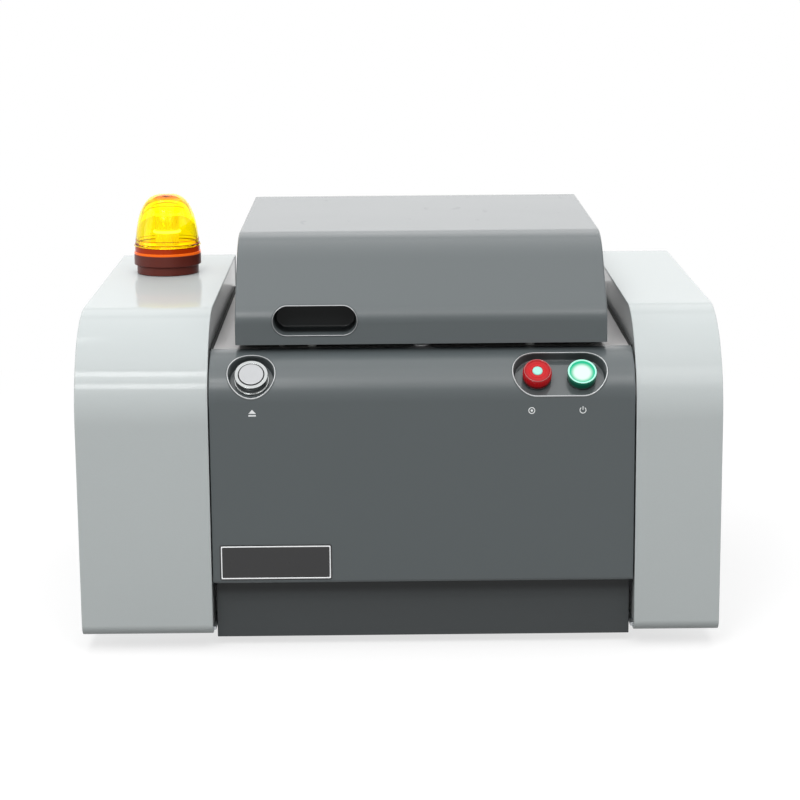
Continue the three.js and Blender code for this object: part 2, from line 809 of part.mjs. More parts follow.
function addLidInside() {
  const side = sheet + seatGap;
  const rim = block(lidLeft + side, lidRight - side, lidFront + side, lidRear - side,
    linerBottom, linerBottom + sheet);
  const hat = block(chamberLeft - linerMargin, chamberRight + linerMargin, chamberFront - linerMargin,
    chamberRear + linerMargin, linerBottom, linerTop);
  const inner = linerMargin - sheet;
  const hollow = block(chamberLeft - inner, chamberRight + inner, chamberFront - inner,
    chamberRear + inner, linerBottom - overrun, linerTop - sheet);
  addPiece('lid_liner', cut(join(rim, hat), hollow), 'aluminium');
  const ringEdge = (margin) => rectangle(chamberLeft - margin, chamberFront - margin,
    chamberRight + margin, chamberRear + margin);
  const gasket = flat(ringEdge(gasketMargin + gasketWidth), [ringEdge(gasketMargin)]);
  addPiece('lid_gasket', alongZ(gasket, tubFlangeTop + seatGap, linerBottom - seatGap), 'rubber');
  const bumperY = deckFront + bumperSetback;
  Object.entries({ left: lidLeft + bumperInset, right: lidRight - bumperInset }).forEach(([place, x]) => {
    const bumper = rod(bumperRadius, deckHeight + seatGap, linerBottom - seatGap);
    addPiece(`lid_bumper_${place}`, bumper, 'buffer').position.set(x, bumperY, 0);
  });
}

// Lid hinges: bracket on the deck, arm on the lid's rear wall, pin through both
function addHinge(side, x) {
  const half = hingeWidth / 2;
  const seat = deckHeight + seatGap;
  const inner = half - hingeEar;
  const bore = hingePinRadius + seatGap;
  const pinHole = alongX(flat(circle(hingeY, hingeZ, bore, roundSides)), -hingeWidth, hingeWidth);
  const foot = block(-half, half, lidRear + armPlate + seatGap, deckRear - hingeBaseRearGap,
    seat, seat + hingeBase);
  const earShape = flat([...arc(hingeY, hingeZ, hingeEarRadius, 0, halfTurn, roundSides / 2),
    [hingeY - hingeEarRadius, seat], [hingeY + hingeEarRadius, seat]]);
  const ears = [alongX(earShape, -half, -inner), alongX(earShape, inner, half)];
  addPiece(`hinge_bracket_${side}`, cut(join(foot, ...ears), pinHole), 'steel').position.x = x;
  const reach = inner - runGap;
  const plateFront = lidRear + seatGap;
  const web = knuckleRadius - hingePinRadius / 2;
  const armFoot = lidBottom + armPlateLift;
  const plate = block(-reach, reach, plateFront, plateFront + armPlate, armFoot, armFoot + armPlateHeight);
  const link = block(-reach, reach, plateFront, hingeY, hingeZ - web, hingeZ + web);
  const knuckle = alongX(flat(circle(hingeY, hingeZ, knuckleRadius, roundSides)), -reach, reach);
  addPiece(`hinge_arm_${side}`, cut(join(plate, link, knuckle), pinHole), 'steel').position.x = x;
  const outer = half + seatGap;
  const pin = turned([[0, -outer - hingePinHead], [hingePinHeadRadius, -outer - hingePinHead],
    [hingePinHeadRadius, -outer], [hingePinRadius, -outer], [hingePinRadius, outer],
    [hingePinHeadRadius, outer], [hingePinHeadRadius, outer + hingePinHead],
    [0, outer + hingePinHead]], roundSides).rotateY(Math.PI / 2);
  addPiece(`hinge_pin_${side}`, pin, 'steel').position.set(x, hingeY, hingeZ);
}

// Electromagnet lock and interlock switch
function addLock() {
  const magnetTop = deckHeight + magnetProud;
  addPiece('lock_magnet', rod(magnetRadius, magnetTop - magnetLength, magnetTop), 'steel')
    .position.set(middleX, lockY, 0);
  const halfX = armatureWidth / 2;
  const halfY = armatureDepth / 2;
  addPiece('lock_armature', block(-halfX, halfX, -halfY, halfY, magnetTop + seatGap, linerBottom - seatGap),
    'steel').position.set(middleX, lockY, 0);
  const plungerTop = linerBottom - seatGap;
  const plungerEnd = plungerTop - plungerLength;
  addPiece('interlock_plunger', rod(plungerRadius, plungerEnd, plungerTop), 'buffer')
    .position.set(plungerX, lockY, 0);
  const top = deckUnderside - seatGap;
  const body = block(-interlockWidth / 2, interlockWidth / 2, -interlockDepth / 2, interlockDepth / 2,
    top - interlockHeight, top);
  const bore = rod(plungerRadius + seatGap, plungerEnd - runGap, top + overrun);
  addPiece('interlock_switch', cut(body, bore), 'black').position.set(plungerX, lockY, 0);
}

// A group whose +Z runs from the measuring spot down and out along a beam
function beamGroup(name, towards) {
  const group = new THREE.Group();
  group.name = name;
  group.position.set(middleX, chamberY, tubFloor);
  group.rotation.y = Math.PI - THREE.MathUtils.degToRad(towards * beamTilt);
  group.updateMatrix();
  analyzer.add(group);
  return group;
}

function addOptics() {
  const tubeLine = beamGroup('tube_line', -1);
  const detectorLine = beamGroup('detector_line', 1);
  const blockTop = tubFloor - sheet - seatGap;
  const blockBottom = blockTop - opticsHeight;
  const armOuter = tubeBodyRadius + seatGap + opticsArm;
  const body = block(middleX - opticsHalfWidth, middleX + opticsHalfWidth, chamberY - armOuter,
    chamberY + opticsRearHalf, blockBottom, blockTop);
  const arm = block(-opticsArmHalf, opticsArmHalf, -armOuter, -armOuter + opticsArm,
    opticsArmFrom, opticsArmTo).applyMatrix4(tubeLine.matrix);
  const beam = rod(beamBore, -overrun, opticsArmTo).applyMatrix4(tubeLine.matrix);
  const view = rod(detectorNoseRadius + seatGap, -overrun, opticsArmTo).applyMatrix4(detectorLine.matrix);
  const sight = rod(sightBore, blockBottom - overrun, tubFloor).translate(middleX, chamberY, 0);
  addPiece('optics_block', cut(join(body, arm), beam, view, sight), 'aluminium');
  const tube = turned([[0, tubeNoseStart], [tubeNoseRadius, tubeNoseStart], [tubeNoseRadius, tubeBodyStart],
    [tubeBodyRadius, tubeBodyStart], [tubeBodyRadius, tubeBodyEnd], [0, tubeBodyEnd]], roundSides);
  addPiece('xray_tube', tube, 'steel', tubeLine);
  const wheelHoles = Array.from({ length: wheelHoleCount }, (_, i) => {
    const start = -quarterTurn + (fullTurn * i) / wheelHoleCount;
    const [[x, y]] = arc(0, 0, wheelOffset, start, start, 1);
    return circle(x, y, wheelHoleRadius, roundSides / 2);
  });
  const shaftHole = circle(0, 0, motorShaftRadius + seatGap, roundSides / 2);
  const wheel = flat(circle(0, 0, wheelRadius, fineSides), [shaftHole, ...wheelHoles]);
  addPiece('filter_wheel', alongZ(wheel, wheelStart, wheelStart + wheelThickness), 'aluminium', tubeLine)
    .position.y = wheelOffset;
  const motorFront = wheelStart + wheelThickness + seatGap;
  const motorEnd = tubeBodyStart - seatGap;
  const motor = turned([[0, wheelStart], [motorShaftRadius, wheelStart], [motorShaftRadius, motorFront],
    [motorRadius, motorFront], [motorRadius, motorEnd], [0, motorEnd]], roundSides);
  addPiece('wheel_motor', motor, 'steel', tubeLine).position.y = wheelOffset;
  const half = detectorSide / 2;
  const nose = rod(detectorNoseRadius, detectorNoseStart, detectorBodyStart + overrun);
  const box = block(-half, half, -half, half, detectorBodyStart, detectorBodyEnd);
  addPiece('detector', join(nose, box), 'aluminium', detectorLine);
}

// Supplies and main board
function addElectronics() {
  const floor = baseTop + seatGap;
  const hvLeft = sectionLeft + hvFromLeft;
  const hvFront = chamberY + tubeBodyRadius + hvTubeGap;
  const hvRear = rearPanelY - inletDepth - hvInletGap;
  addPiece('hv_supply', block(hvLeft, hvLeft + hvWidth, hvFront, hvRear, floor, floor + hvHeight), 'steel');
  const supplyRear = rearY - supplyRearGap;
  addPiece('power_supply', block(leftX + supplyInset, sectionLeft - supplyCheekGap,
    supplyRear - supplyDepth, supplyRear, floor, floor + supplyHeight), 'steel');
  const cheekFace = sectionRight + plateInset + sheet + seatGap;
  const boardX = cheekFace + boardPost;
  const boardHalfLength = overallDepth / 2 - boardEndInset;
  const boardBottom = baseTop + boardRise;
  const boardTop = housingTop - boardDrop;
  const board = block(boardX, boardX + boardThickness, -boardHalfLength, boardHalfLength, boardBottom,
    boardTop);
  const reach = boardHalfLength - boardPostInset;
  const posts = [[-reach, boardBottom + boardPostInset], [reach, boardBottom + boardPostInset],
    [-reach, boardTop - boardPostInset], [reach, boardTop - boardPostInset]].map(([y, z]) => alongX(
    flat(circle(y, z, boardPostRadius, bendSteps * 2)), cheekFace, boardX + boardThickness / 2));
  addPiece('main_board', join(board, ...posts), 'board');
}

// Rear panel with its fan and mains inlet
function addRearPanel() {
  const fanHole = circle(fanX, fanZ, fanBore, fineSides);
  const lip = inletLip - seatGap;
  const inletHole = rectangle(inletX - inletWidth / 2 + lip, inletZ - inletHeight / 2 + lip,
    inletX + inletWidth / 2 - lip, inletZ + inletHeight / 2 - lip);
  const ventX = sectionLeft + rearVentFromLeft;
  const vents = Array.from({ length: rearVentCount }, (_, i) => obround(ventX,
    deckUnderside - rearVentDrop - i * rearVentPitch, rearVentLength, rearVentWidth, bendSteps));
  const plate = flat(rectangle(sectionLeft + panelSideGap, baseTop + seatGap, sectionRight - panelSideGap,
    deckUnderside - seatGap), [fanHole, inletHole, ...vents]);
  addPiece('rear_panel', alongY(plate, rearPanelInner, rearPanelY), 'darkGrey');
}

function addFan() {
  const rear = rearPanelInner - seatGap;
  const front = rear - fanDepth;
  const half = fanSide / 2;
  const bore = circle(0, 0, fanBore, fineSides);
  const duct = alongY(flat(rectangle(-half, -half, half, half), [bore]), front, rear);
  const hub = alongY(flat(circle(0, 0, fanHubRadius, roundSides)), front, front + fanSpider);
  const pin = alongY(flat(circle(0, 0, fanPinRadius, roundSides / 2)), front, front + fanSpider + fanPin);
  const strut = fanStrut / 2;
  const struts = [alongY(flat(rectangle(-half, -strut, half, strut)), front, front + fanSpider),
    alongY(flat(rectangle(-strut, -half, strut, half)), front, front + fanSpider)];
  addPiece('fan_frame', join(duct, hub, pin, ...struts), 'black').position.set(fanX, 0, fanZ);
  const start = front + fanSpider + runGap;
  const body = alongY(flat(circle(0, 0, rotorHubRadius, roundSides)), start, start + rotorLength);
  const blades = Array.from({ length: rotorBladeCount }, (_, i) => {
    const span = rotorRadius - rotorHubRadius + overrun;
    const blade = new THREE.BoxGeometry(span, rotorChord, rotorBlade);
    blade.rotateX(THREE.MathUtils.degToRad(rotorPitch));
    blade.translate(rotorRadius - span / 2, start + rotorLength / 2, 0);
    return blade.rotateY((2 * Math.PI * i) / rotorBladeCount);
  });
  const socket = alongY(flat(circle(0, 0, fanPinRadius + seatGap, roundSides / 2)),
    start - overrun, front + fanSpider + fanPin + seatGap);
  addPiece('fan_rotor', cut(join(body, ...blades), socket), 'black').position.set(fanX, 0, fanZ);
  addGuard();
}

function addGuard() {
  const back = rearPanelY + seatGap;
  const face = back + guardWire;
  const ringRadii = [1, 2, 3].map((i) => (i * fanBore) / 3 - guardWire);
  const rings = ringRadii.map((radius) => alongY(flat(circle(0, 0, radius + guardWire / 2, roundSides),
    [circle(0, 0, radius - guardWire / 2, roundSides)]), back, face));
  const reach = guardScrewSpacing / 2;
  const spoke = () => new THREE.BoxGeometry(2 * reach * Math.SQRT2, guardWire, guardWire);
  const spokes = [1, -1].map((way) => spoke()
    .rotateY(THREE.MathUtils.degToRad((way * quarterTurn) / 2)).translate(0, (back + face) / 2, 0));
  const ears = [[-reach, -reach], [reach, -reach], [-reach, reach], [reach, reach]].map(([x, z]) => alongY(
    flat(circle(x, z, guardEarRadius, roundSides / 2)), back, face));
  addPiece('fan_guard', join(...rings, ...spokes, ...ears), 'steel').position.set(fanX, 0, fanZ);
}

function addInlet() {
  const group = new THREE.Group();
  group.name = 'inlet_place';
  group.position.set(inletX, rearPanelY, inletZ);
  analyzer.add(group);
  const box = (halfX, z0, z1, y0, y1, x = 0) => block(x - halfX, x + halfX, y0, y1, z0, z1);
  const face = seatGap + inletFlange;
  const lip = box(inletWidth / 2, -inletHeight / 2, inletHeight / 2, seatGap, face);
  const bodyHalf = inletWidth / 2 - inletLip;
  const bodyHeight = inletHeight / 2 - inletLip;
  const body = box(bodyHalf, -bodyHeight, bodyHeight, -inletDepth, face);
  const around = (height, centre, halfX, depth) => box(halfX, centre - height / 2, centre + height / 2,
    face - depth, face + overrun);
  const socket = around(socketHeight, -socketDrop, socketWidth / 2, socketDepth);
  const fusePocket = around(fuseHeight + 2 * seatGap, fuseLift, fuseWidth / 2 + seatGap, fuseDepth);
  const rockerHole = around(rockerWindow, rockerLift, rockerWidth / 2 + seatGap, rockerPocket);
  const floor = face - socketDepth;
  const pinPlaces = [[-socketPinSpacing / 2, 0], [0, socketEarthLift], [socketPinSpacing / 2, 0]];
  const pins = pinPlaces.map(([x, lift]) => box(
    socketPinWidth / 2, lift - socketDrop - socketPinHeight / 2, lift - socketDrop + socketPinHeight / 2,
    floor - overrun, floor + socketPinLength, x));
  const hollowed = cut(join(lip, body), socket, fusePocket, rockerHole);
  addPiece('mains_inlet', join(hollowed, ...pins), 'black', group);
  const drawer = box(fuseWidth / 2, fuseLift - fuseHeight / 2, fuseLift + fuseHeight / 2,
    face - fuseDepth + seatGap, face + fuseProud);
  addPiece('fuse_drawer', drawer, 'black', group);
  const half = rockerHeight / 2;
  const rocker = flat([[rockerRise, -half], [rockerDish, 0], [rockerRise, half],
    ...arc(0, 0, rockerRoot, quarterTurn, halfTurn + quarterTurn, bendSteps * 2)]);
  const pivot = addPiece('mains_rocker', alongX(rocker, -rockerWidth / 2, rockerWidth / 2), 'black', group);
  pivot.position.set(0, face - rockerDish, rockerLift);
  pivot.rotation.x = THREE.MathUtils.degToRad(rockerTilt);
}

// Beacon: base on the left housing, lamp tower and domed lens
function domeProfile(radius, start, height) {
  return Array.from({ length: domeSteps + 1 }, (_, i) => {
    const share = Math.sin((Math.PI / 2) * (i / domeSteps));
    const narrowing = (1 - domeTaperShare * share) * (1 - share ** domePower) ** (1 / domePower);
    return [i === domeSteps ? 0 : radius * narrowing, start + height * share];
  });
}

function addBeacon() {
  const group = new THREE.Group();
  group.name = 'beacon_place';
  group.position.set(beaconX, beaconY, housingTop + seatGap);
  analyzer.add(group);
  const ringTop = beaconFoot + beaconRing;
  const bandTop = ringTop + beaconBandHeight;
  const collar = beaconDomeRadius - beaconWall - seatGap;
  const inner = collar - beaconCollarWall;
  addPiece('beacon_base', turned([
    [beaconCableRadius, 0], [beaconFootRadius, 0], [beaconFootRadius, beaconFoot],
    [beaconRingRadius, beaconFoot], [beaconRingRadius, ringTop], [collar, ringTop],
    [collar, ringTop + beaconCollar], [inner, ringTop + beaconCollar], [inner, beaconFloor],
    [beaconCableRadius, beaconFloor]], fineSides), 'brown', group);
  const towerFoot = beaconFloor + seatGap;
  addPiece('beacon_tower', turned([
    [0, towerFoot], [inner - runGap, towerFoot], [inner - runGap, towerFoot + beaconTowerFoot],
    [beaconTowerRadius, towerFoot + beaconTowerFoot], [beaconTowerRadius, beaconTowerHeight],
    [0, beaconTowerHeight]], roundSides), 'buffer', group);
  const heights = bandShares.map((share) => ringTop + share * beaconBandHeight);
  const [lower, lowerGroove, upperGroove, upper, neck, top] = heights;
  const grooved = beaconRingRadius - beaconGroove;
  const seat = ringTop + seatGap;
  const outside = turned([
    [0, seat], [beaconRingRadius, seat], [beaconRingRadius, lower], [grooved, lowerGroove],
    [grooved, upperGroove], [beaconRingRadius, upper], [beaconRingRadius, neck], [grooved, top],
    ...domeProfile(beaconDomeRadius, bandTop, beaconDomeHeight)], fineSides);
  const hollow = beaconDomeRadius - beaconWall;
  const inside = turned([
    [0, seat - overrun], [hollow, seat - overrun],
    ...domeProfile(hollow, bandTop, beaconDomeHeight - beaconWall)], fineSides);
  addPiece('beacon_lens', cut(outside, inside), 'amberLens', group);
}

addHousings();
addBase();
addFeet();
addFrontPanel();
addPockets();
addButton();
addLamps();
addDeck();
addRails();
addChamber();
addLid();
addLidInside();
addHinge('left', lidLeft + hingeInset);
addHinge('right', lidRight - hingeInset);
addLock();
addOptics();
addElectronics();
addRearPanel();
addFan();
addInlet();
addBeacon();

export default analyzer;
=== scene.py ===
"""Dresses the benchtop analyzer: fine shapes, finishes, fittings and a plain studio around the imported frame.

Sizes in this file are millimetres, and become metres when a mesh is made. +Z is up and -Y is the front.
"""

import logging
import math
from dataclasses import dataclass
from enum import Enum
from typing import Callable, Iterable, Optional, Sequence, Union

import bmesh
import bpy
from mathutils import Matrix, Vector
from mathutils.geometry import tessellate_polygon


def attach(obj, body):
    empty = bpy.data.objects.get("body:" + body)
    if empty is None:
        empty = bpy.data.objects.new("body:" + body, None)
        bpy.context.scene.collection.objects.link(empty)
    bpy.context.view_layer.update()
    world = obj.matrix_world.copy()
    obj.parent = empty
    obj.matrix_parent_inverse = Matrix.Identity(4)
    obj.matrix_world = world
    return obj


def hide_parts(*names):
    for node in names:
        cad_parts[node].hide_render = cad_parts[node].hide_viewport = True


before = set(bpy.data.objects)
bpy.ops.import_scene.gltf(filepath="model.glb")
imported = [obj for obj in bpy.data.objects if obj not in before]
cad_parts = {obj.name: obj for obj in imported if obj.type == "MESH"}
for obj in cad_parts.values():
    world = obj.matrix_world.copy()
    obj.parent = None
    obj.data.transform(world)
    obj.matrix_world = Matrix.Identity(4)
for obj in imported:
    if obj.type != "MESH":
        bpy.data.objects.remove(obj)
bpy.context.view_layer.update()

Point2 = tuple[float, float]
Point3 = tuple[float, float, float]
Outline = Sequence[Point2]

MM = 0.001
TINY = 1e-6
STRAIGHT = 0.02
HALF_EDGE = 0.49
SHARPEST = 0.2
UP: Point3 = (0.0, 0.0, 1.0)
REARWARD: Point3 = (0.0, 1.0, 0.0)
LOG = logging.getLogger("analyzer")

# Distances in metres: points that are one, edges that are none, and corners of a node that are one
MERGE, SLIVER, WELD = 1e-7, 1e-8, 2e-6

# Sizes and places that the sub-assemblies share
LEFT, RIGHT = -275.0, 275.0
FRONT, REAR = -205.0, 205.0
SECTION_LEFT, SECTION_RIGHT = -162.0, 201.5
DECK_TOP = 259.0
BASE_TOP = 20.3
SHEET = 2.0
GAP = 0.3
SMALLEST_BEND = 0.6
RED_LAMP: Point3 = (117.85, -195.249, 243.819)
GREEN_LAMP: Point3 = (155.95, -192.845, 241.415)
BEACON_X, BEACON_Y = -219.5, 86.0


class Body(Enum):
    """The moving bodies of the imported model."""

    CHASSIS = "chassis"
    LID = "lid"
    BUTTON = "open_button"
    PLUNGER = "interlock_plunger"
    WHEEL = "filter_wheel"
    ROTOR = "fan_rotor"
    DRAWER = "fuse_drawer"
    ROCKER = "mains_rocker"


class Slot(Enum):
    """The material slots of the record."""

    PALE = "cover_pale"
    DARK = "cover_dark"
    BLACK = "black_plastic"
    STEEL = "steel"
    CHROME = "chrome"
    ALUMINIUM = "aluminium"
    RUBBER = "rubber"
    BUFFER = "buffer"
    RED = "red_lens"
    GREEN = "green_lens"
    AMBER = "amber_lens"
    BROWN = "brown_plastic"
    BOARD = "circuit_board"


class Plane(Enum):
    """The plane that an outline is drawn in: its two axes, and the axis that its depth runs along."""

    SIDE = (1, 2, 0)
    FRONT = (0, 2, 1)
    TOP = (0, 1, 2)

    def place(self, point: Point2, depth: float) -> Point3:
        """Returns the place of an outline's point at a depth."""
        placed = dict(zip(self.value, (*point, depth)))
        return placed[0], placed[1], placed[2]


def metres(values: Iterable[float]) -> tuple[float, ...]:
    """Returns millimetres as metres."""
    return tuple(value * MM for value in values)


# Node trees


def arithmetic(operation: str, swapped: bool = False) -> Callable[["Wire", "Value"], "Wire"]:
    """Returns a method that adds a Math node for a wire and a value, or for the value and the wire."""
    def method(wire: "Wire", other: "Value") -> "Wire":
        """Returns the node's result."""
        first, second = (other, wire) if swapped else (wire, other)
        return wire.graph.maths(operation, first, second)

    return method


class Wire:
    """An output socket of a node tree, with arithmetic that adds Math nodes."""

    __add__ = __radd__ = arithmetic("ADD")
    __sub__ = arithmetic("SUBTRACT")
    __rsub__ = arithmetic("SUBTRACT", swapped=True)
    __mul__ = __rmul__ = arithmetic("MULTIPLY")
    __truediv__ = arithmetic("DIVIDE")

    def __init__(self, graph: "Graph", socket: bpy.types.NodeSocket) -> None:
        """Wraps a socket of a graph."""
        self.graph = graph
        self.socket = socket

    def step(self, low: float, high: float) -> "Wire":
        """Returns 0 below low and 1 above high, with a soft change between them."""
        marks = {"Value": self, "From Min": low, "From Max": high}
        return self.graph.made("ShaderNodeMapRange", {"interpolation_type": "SMOOTHSTEP"}, marks)

    def part(self, axis: str) -> "Wire":
        """Returns the X, Y or Z part of a vector."""
        return self.graph.made("ShaderNodeSeparateXYZ", {}, {"Vector": self}, axis)


Value = Union[Wire, float]
Inputs = dict[Union[str, int], object]


class Graph:
    """Adds nodes to a shader tree or a geometry tree."""

    def __init__(self, tree: bpy.types.NodeTree) -> None:
        """Starts on a tree."""
        self.tree = tree

    def node(self, kind: str, settings: dict[str, object], inputs: Inputs) -> bpy.types.Node:
        """Adds a node.

        Args:
            kind: the node's type name.
            settings: its properties, which are set before its sockets.
            inputs: values or wires by the socket's name or number.

        Returns:
            The new node.
        """
        node = self.tree.nodes.new(kind)
        for name, value in settings.items():
            setattr(node, name, value)
        self.feed(node, inputs)
        return node

    def feed(self, node: bpy.types.Node, inputs: Inputs) -> None:
        """Links wires to a node's sockets, and gives the others their values."""
        for name, value in inputs.items():
            socket = node.inputs[name]
            if isinstance(value, Wire):
                self.tree.links.new(value.socket, socket)
            else:
                socket.default_value = (*value, 1.0) if socket.type == "RGBA" else value

    def out(self, node: bpy.types.Node, name: Union[str, int] = 0) -> Wire:
        """Returns a node's output as a wire."""
        return Wire(self, node.outputs[name])

    def made(self, kind: str, settings: dict[str, object], inputs: Inputs, name: Union[str, int] = 0) -> Wire:
        """Adds a node and returns one of its outputs."""
        return self.out(self.node(kind, settings, inputs), name)

    def maths(self, operation: str, first: Value, second: Value, clamp: bool = False) -> Wire:
        """Adds a Math node and returns its result."""
        settings = {"operation": operation, "use_clamp": clamp}
        return self.made("ShaderNodeMath", settings, {0: first, 1: second})

    def place(self) -> Wire:
        """Returns the place on the piece, in metres."""
        return self.made("ShaderNodeTexCoord", {}, {}, "Object")

    def stretched(self, place: Wire, scale: Point3) -> Wire:
        """Returns a place scaled along each axis."""
        return self.made("ShaderNodeMapping", {}, {"Vector": place, "Scale": scale})

    def noise(self, place: Wire, scale: float, detail: float = 2.0, rough: float = 0.5) -> Wire:
        """Returns noise between 0 and 1 with a number of waves in a metre."""
        inputs = {"Vector": place, "Scale": scale, "Detail": detail, "Roughness": rough}
        return self.made("ShaderNodeTexNoise", {}, inputs)

    def cells(self, place: Wire, scale: float, feature: str = "F1") -> Wire:
        """Returns the distance within cells of a number to a metre."""
        return self.made("ShaderNodeTexVoronoi", {"feature": feature}, {"Vector": place, "Scale": scale})

    def blend(self, share: Value, first: object, second: object) -> Wire:
        """Returns a colour between two."""
        settings = {"data_type": "RGBA", "clamp_factor": True}
        return self.made("ShaderNodeMix", settings, {0: share, 6: first, 7: second}, 2)

    def scaled(self, vector: object, factor: Value) -> Wire:
        """Returns a colour or a vector times a factor."""
        return self.made("ShaderNodeVectorMath", {"operation": "SCALE"}, {0: vector, "Scale": factor})

    def bump(self, height: Wire, depth: float) -> Wire:
        """Returns a normal raised by a height, where the depth is in millimetres."""
        return self.made("ShaderNodeBump", {}, {"Height": height, "Distance": depth * MM, "Strength": 1.0})


# Finishes


@dataclass(frozen=True)
class Finish:
    """A finish: its name, its slot in the record and its linear colour."""

    name: str
    slot: Slot
    colour: Point3
    roughness: float = 0.4

    def material(self) -> bpy.types.Material:
        """Returns the finish's material, which is made once."""
        material = bpy.data.materials.get(self.name)
        if material is None:
            material = bpy.data.materials.new(self.name)
            material.use_nodes = True
            graph = Graph(material.node_tree)
            graph.feed(graph.tree.nodes["Principled BSDF"], self.sockets(graph, graph.place()))
        return material

    def sockets(self, graph: Graph, place: Wire) -> Inputs:
        """Returns what the shader takes in.

        Args:
            graph: adds nodes to the material.
            place: the place on the piece.

        Returns:
            Values or wires by the name of the shader's socket.
        """
        raise NotImplementedError


@dataclass(frozen=True)
class Paint(Finish):
    """Baked paint: orange peel under a clear skin, faint clouds, fine speckle and rubs.

    Its painted shade makes it darker behind a given depth, for shade deep in a recess, and above a given
    height, for shadow under an overhang.
    """

    coat: float = 0.8
    gleam: float = 0.2
    gloss: float = 0.05
    peel: float = 0.02
    mottle: float = 0.05
    # Painted shade: the depth and height past which the tone darkens, and how much it loses
    recess_shade: Optional[Point2] = None
    overhang_shade: Optional[Point2] = None
    recess_shade_loss: float = 0.84
    overhang_shade_loss: float = 0.62

    def sockets(self, graph: Graph, place: Wire) -> Inputs:
        """Returns the sockets of paint."""
        cloud = graph.noise(place, 7.0, 3.0) - 0.5
        speckle = graph.noise(place, 1500.0, 1.0) - 0.5
        rub = graph.noise(graph.stretched(place, (3.0, 1.0, 40.0)), 22.0, 4.0).step(0.66, 0.78)
        tone = 1.0 + cloud * self.mottle + speckle * 0.05 + rub * 0.03
        # Painted shade: the tone falls behind a depth along Y and above a height along Z, where shadow falls
        for axis, limits, loss in (("Y", self.recess_shade, self.recess_shade_loss), ("Z", self.overhang_shade, self.overhang_shade_loss)):
            if limits:
                tone = tone * (1.0 - place.part(axis).step(*metres(limits)) * loss)
        return {"Base Color": graph.scaled(self.colour, tone),
                "Roughness": self.roughness + cloud * 0.08 + rub * 0.1,
                "Normal": graph.bump(graph.noise(place, 330.0), self.peel),
                "Specular IOR Level": self.gleam, "Coat Weight": self.coat, "Coat Roughness": self.gloss}


@dataclass(frozen=True)
class Metal(Finish):
    """Bare, plated or brushed metal."""

    grain: Point3 = (1.0, 1.0, 1.0)
    scratch: float = 0.06

    def sockets(self, graph: Graph, place: Wire) -> Inputs:
        """Returns the sockets of metal."""
        lines = graph.noise(graph.stretched(place, self.grain), 900.0, 3.0, 0.6)
        tarnish = graph.noise(place, 120.0, 4.0).step(0.56, 0.75)
        tone = 1.0 + (graph.noise(place, 30.0, 3.0) - 0.5) * 0.16 + (lines - 0.5) * 0.12
        clean, dull = graph.scaled(self.colour, tone), graph.scaled(self.colour, tone * 0.7)
        return {"Base Color": graph.blend(tarnish * 0.25, clean, dull), "Metallic": 1.0,
                "Roughness": self.roughness + (lines - 0.5) * 0.2 + tarnish * 0.06,
                "Normal": graph.bump(lines, self.scratch * 0.1)}


@dataclass(frozen=True)
class Plastic(Finish):
    """Moulded plastic with a fine spark-eroded grain."""

    grain: float = 0.015
    gleam: float = 0.5

    def sockets(self, graph: Graph, place: Wire) -> Inputs:
        """Returns the sockets of plastic."""
        pebble = graph.noise(place, 1700.0)
        cloud = graph.noise(place, 35.0, 3.0) - 0.5
        return {"Base Color": graph.scaled(self.colour, 1.0 + cloud * 0.18 + (pebble - 0.5) * 0.12),
                "Roughness": self.roughness + cloud * 0.12 + (pebble - 0.5) * 0.08,
                "Normal": graph.bump(pebble, self.grain), "Specular IOR Level": self.gleam}


@dataclass(frozen=True)
class Rubber(Finish):
    """Matt rubber with a little dust."""

    dust: Point3 = (0.16, 0.15, 0.14)

    def sockets(self, graph: Graph, place: Wire) -> Inputs:
        """Returns the sockets of rubber."""
        grit = graph.noise(place, 900.0, 3.0)
        dusty = graph.noise(place, 90.0, 4.0).step(0.5, 0.8)
        return {"Base Color": graph.blend(dusty * 0.35, graph.scaled(self.colour, grit + 0.5), self.dust),
                "Roughness": self.roughness + (grit - 0.5) * 0.1, "Normal": graph.bump(grit, 0.03)}


@dataclass(frozen=True)
class ClearPlastic(Finish):
    """Clear coloured plastic that takes in other colours with depth."""

    density: float = 600.0
    tint: Point3 = (1.0, 0.9, 0.2)

    def sockets(self, graph: Graph, place: Wire) -> Inputs:
        """Returns the sockets of clear plastic, and tints the light that goes through."""
        cloud = graph.noise(place, 60.0)
        tinted = graph.made("ShaderNodeVolumeAbsorption", {}, {"Color": self.tint, "Density": self.density})
        graph.feed(graph.tree.nodes["Material Output"], {"Volume": tinted})
        return {"Base Color": graph.scaled(self.colour, 0.96 + cloud * 0.08),
                "Roughness": self.roughness + (cloud - 0.5) * 0.04,
                "Normal": graph.bump(graph.noise(place, 140.0), 0.02), "Transmission Weight": 1.0,
                "IOR": 1.49, "Specular IOR Level": 0.3, "Specular Tint": (1.0, 0.75, 0.12)}


@dataclass(frozen=True)
class LitPlastic(Finish):
    """Milky coloured plastic, lit from behind: hot at its middle, then the rim's colour and the skirt's."""

    hot: Point3 = (1.0, 1.0, 1.0)
    rim: Optional[Point3] = None
    skirt: Optional[Point3] = None
    centre: Point3 = (0.0, 0.0, 0.0)
    reach: float = 60.0
    glow: float = 1.0

    def sockets(self, graph: Graph, place: Wire) -> Inputs:
        """Returns the sockets of lit plastic."""
        from_middle = {0: place, 1: metres(self.centre)}
        away = graph.made("ShaderNodeVectorMath", {"operation": "DISTANCE"}, from_middle, "Value")
        reach = self.reach * MM
        rim = self.rim or self.hot
        inner = graph.blend(away.step(reach * 0.55, reach), self.hot, rim)
        light = graph.blend(away.step(reach * 1.12, reach * 1.21), inner, self.skirt or rim)
        facet = graph.noise(place, 700.0, 1.0)
        return {"Base Color": graph.scaled(self.colour, 0.95 + facet * 0.1), "Emission Color": light,
                "Emission Strength": self.glow, "Specular IOR Level": 0.15,
                "Roughness": self.roughness + (facet - 0.5) * 0.05, "Normal": graph.bump(facet, 0.02)}


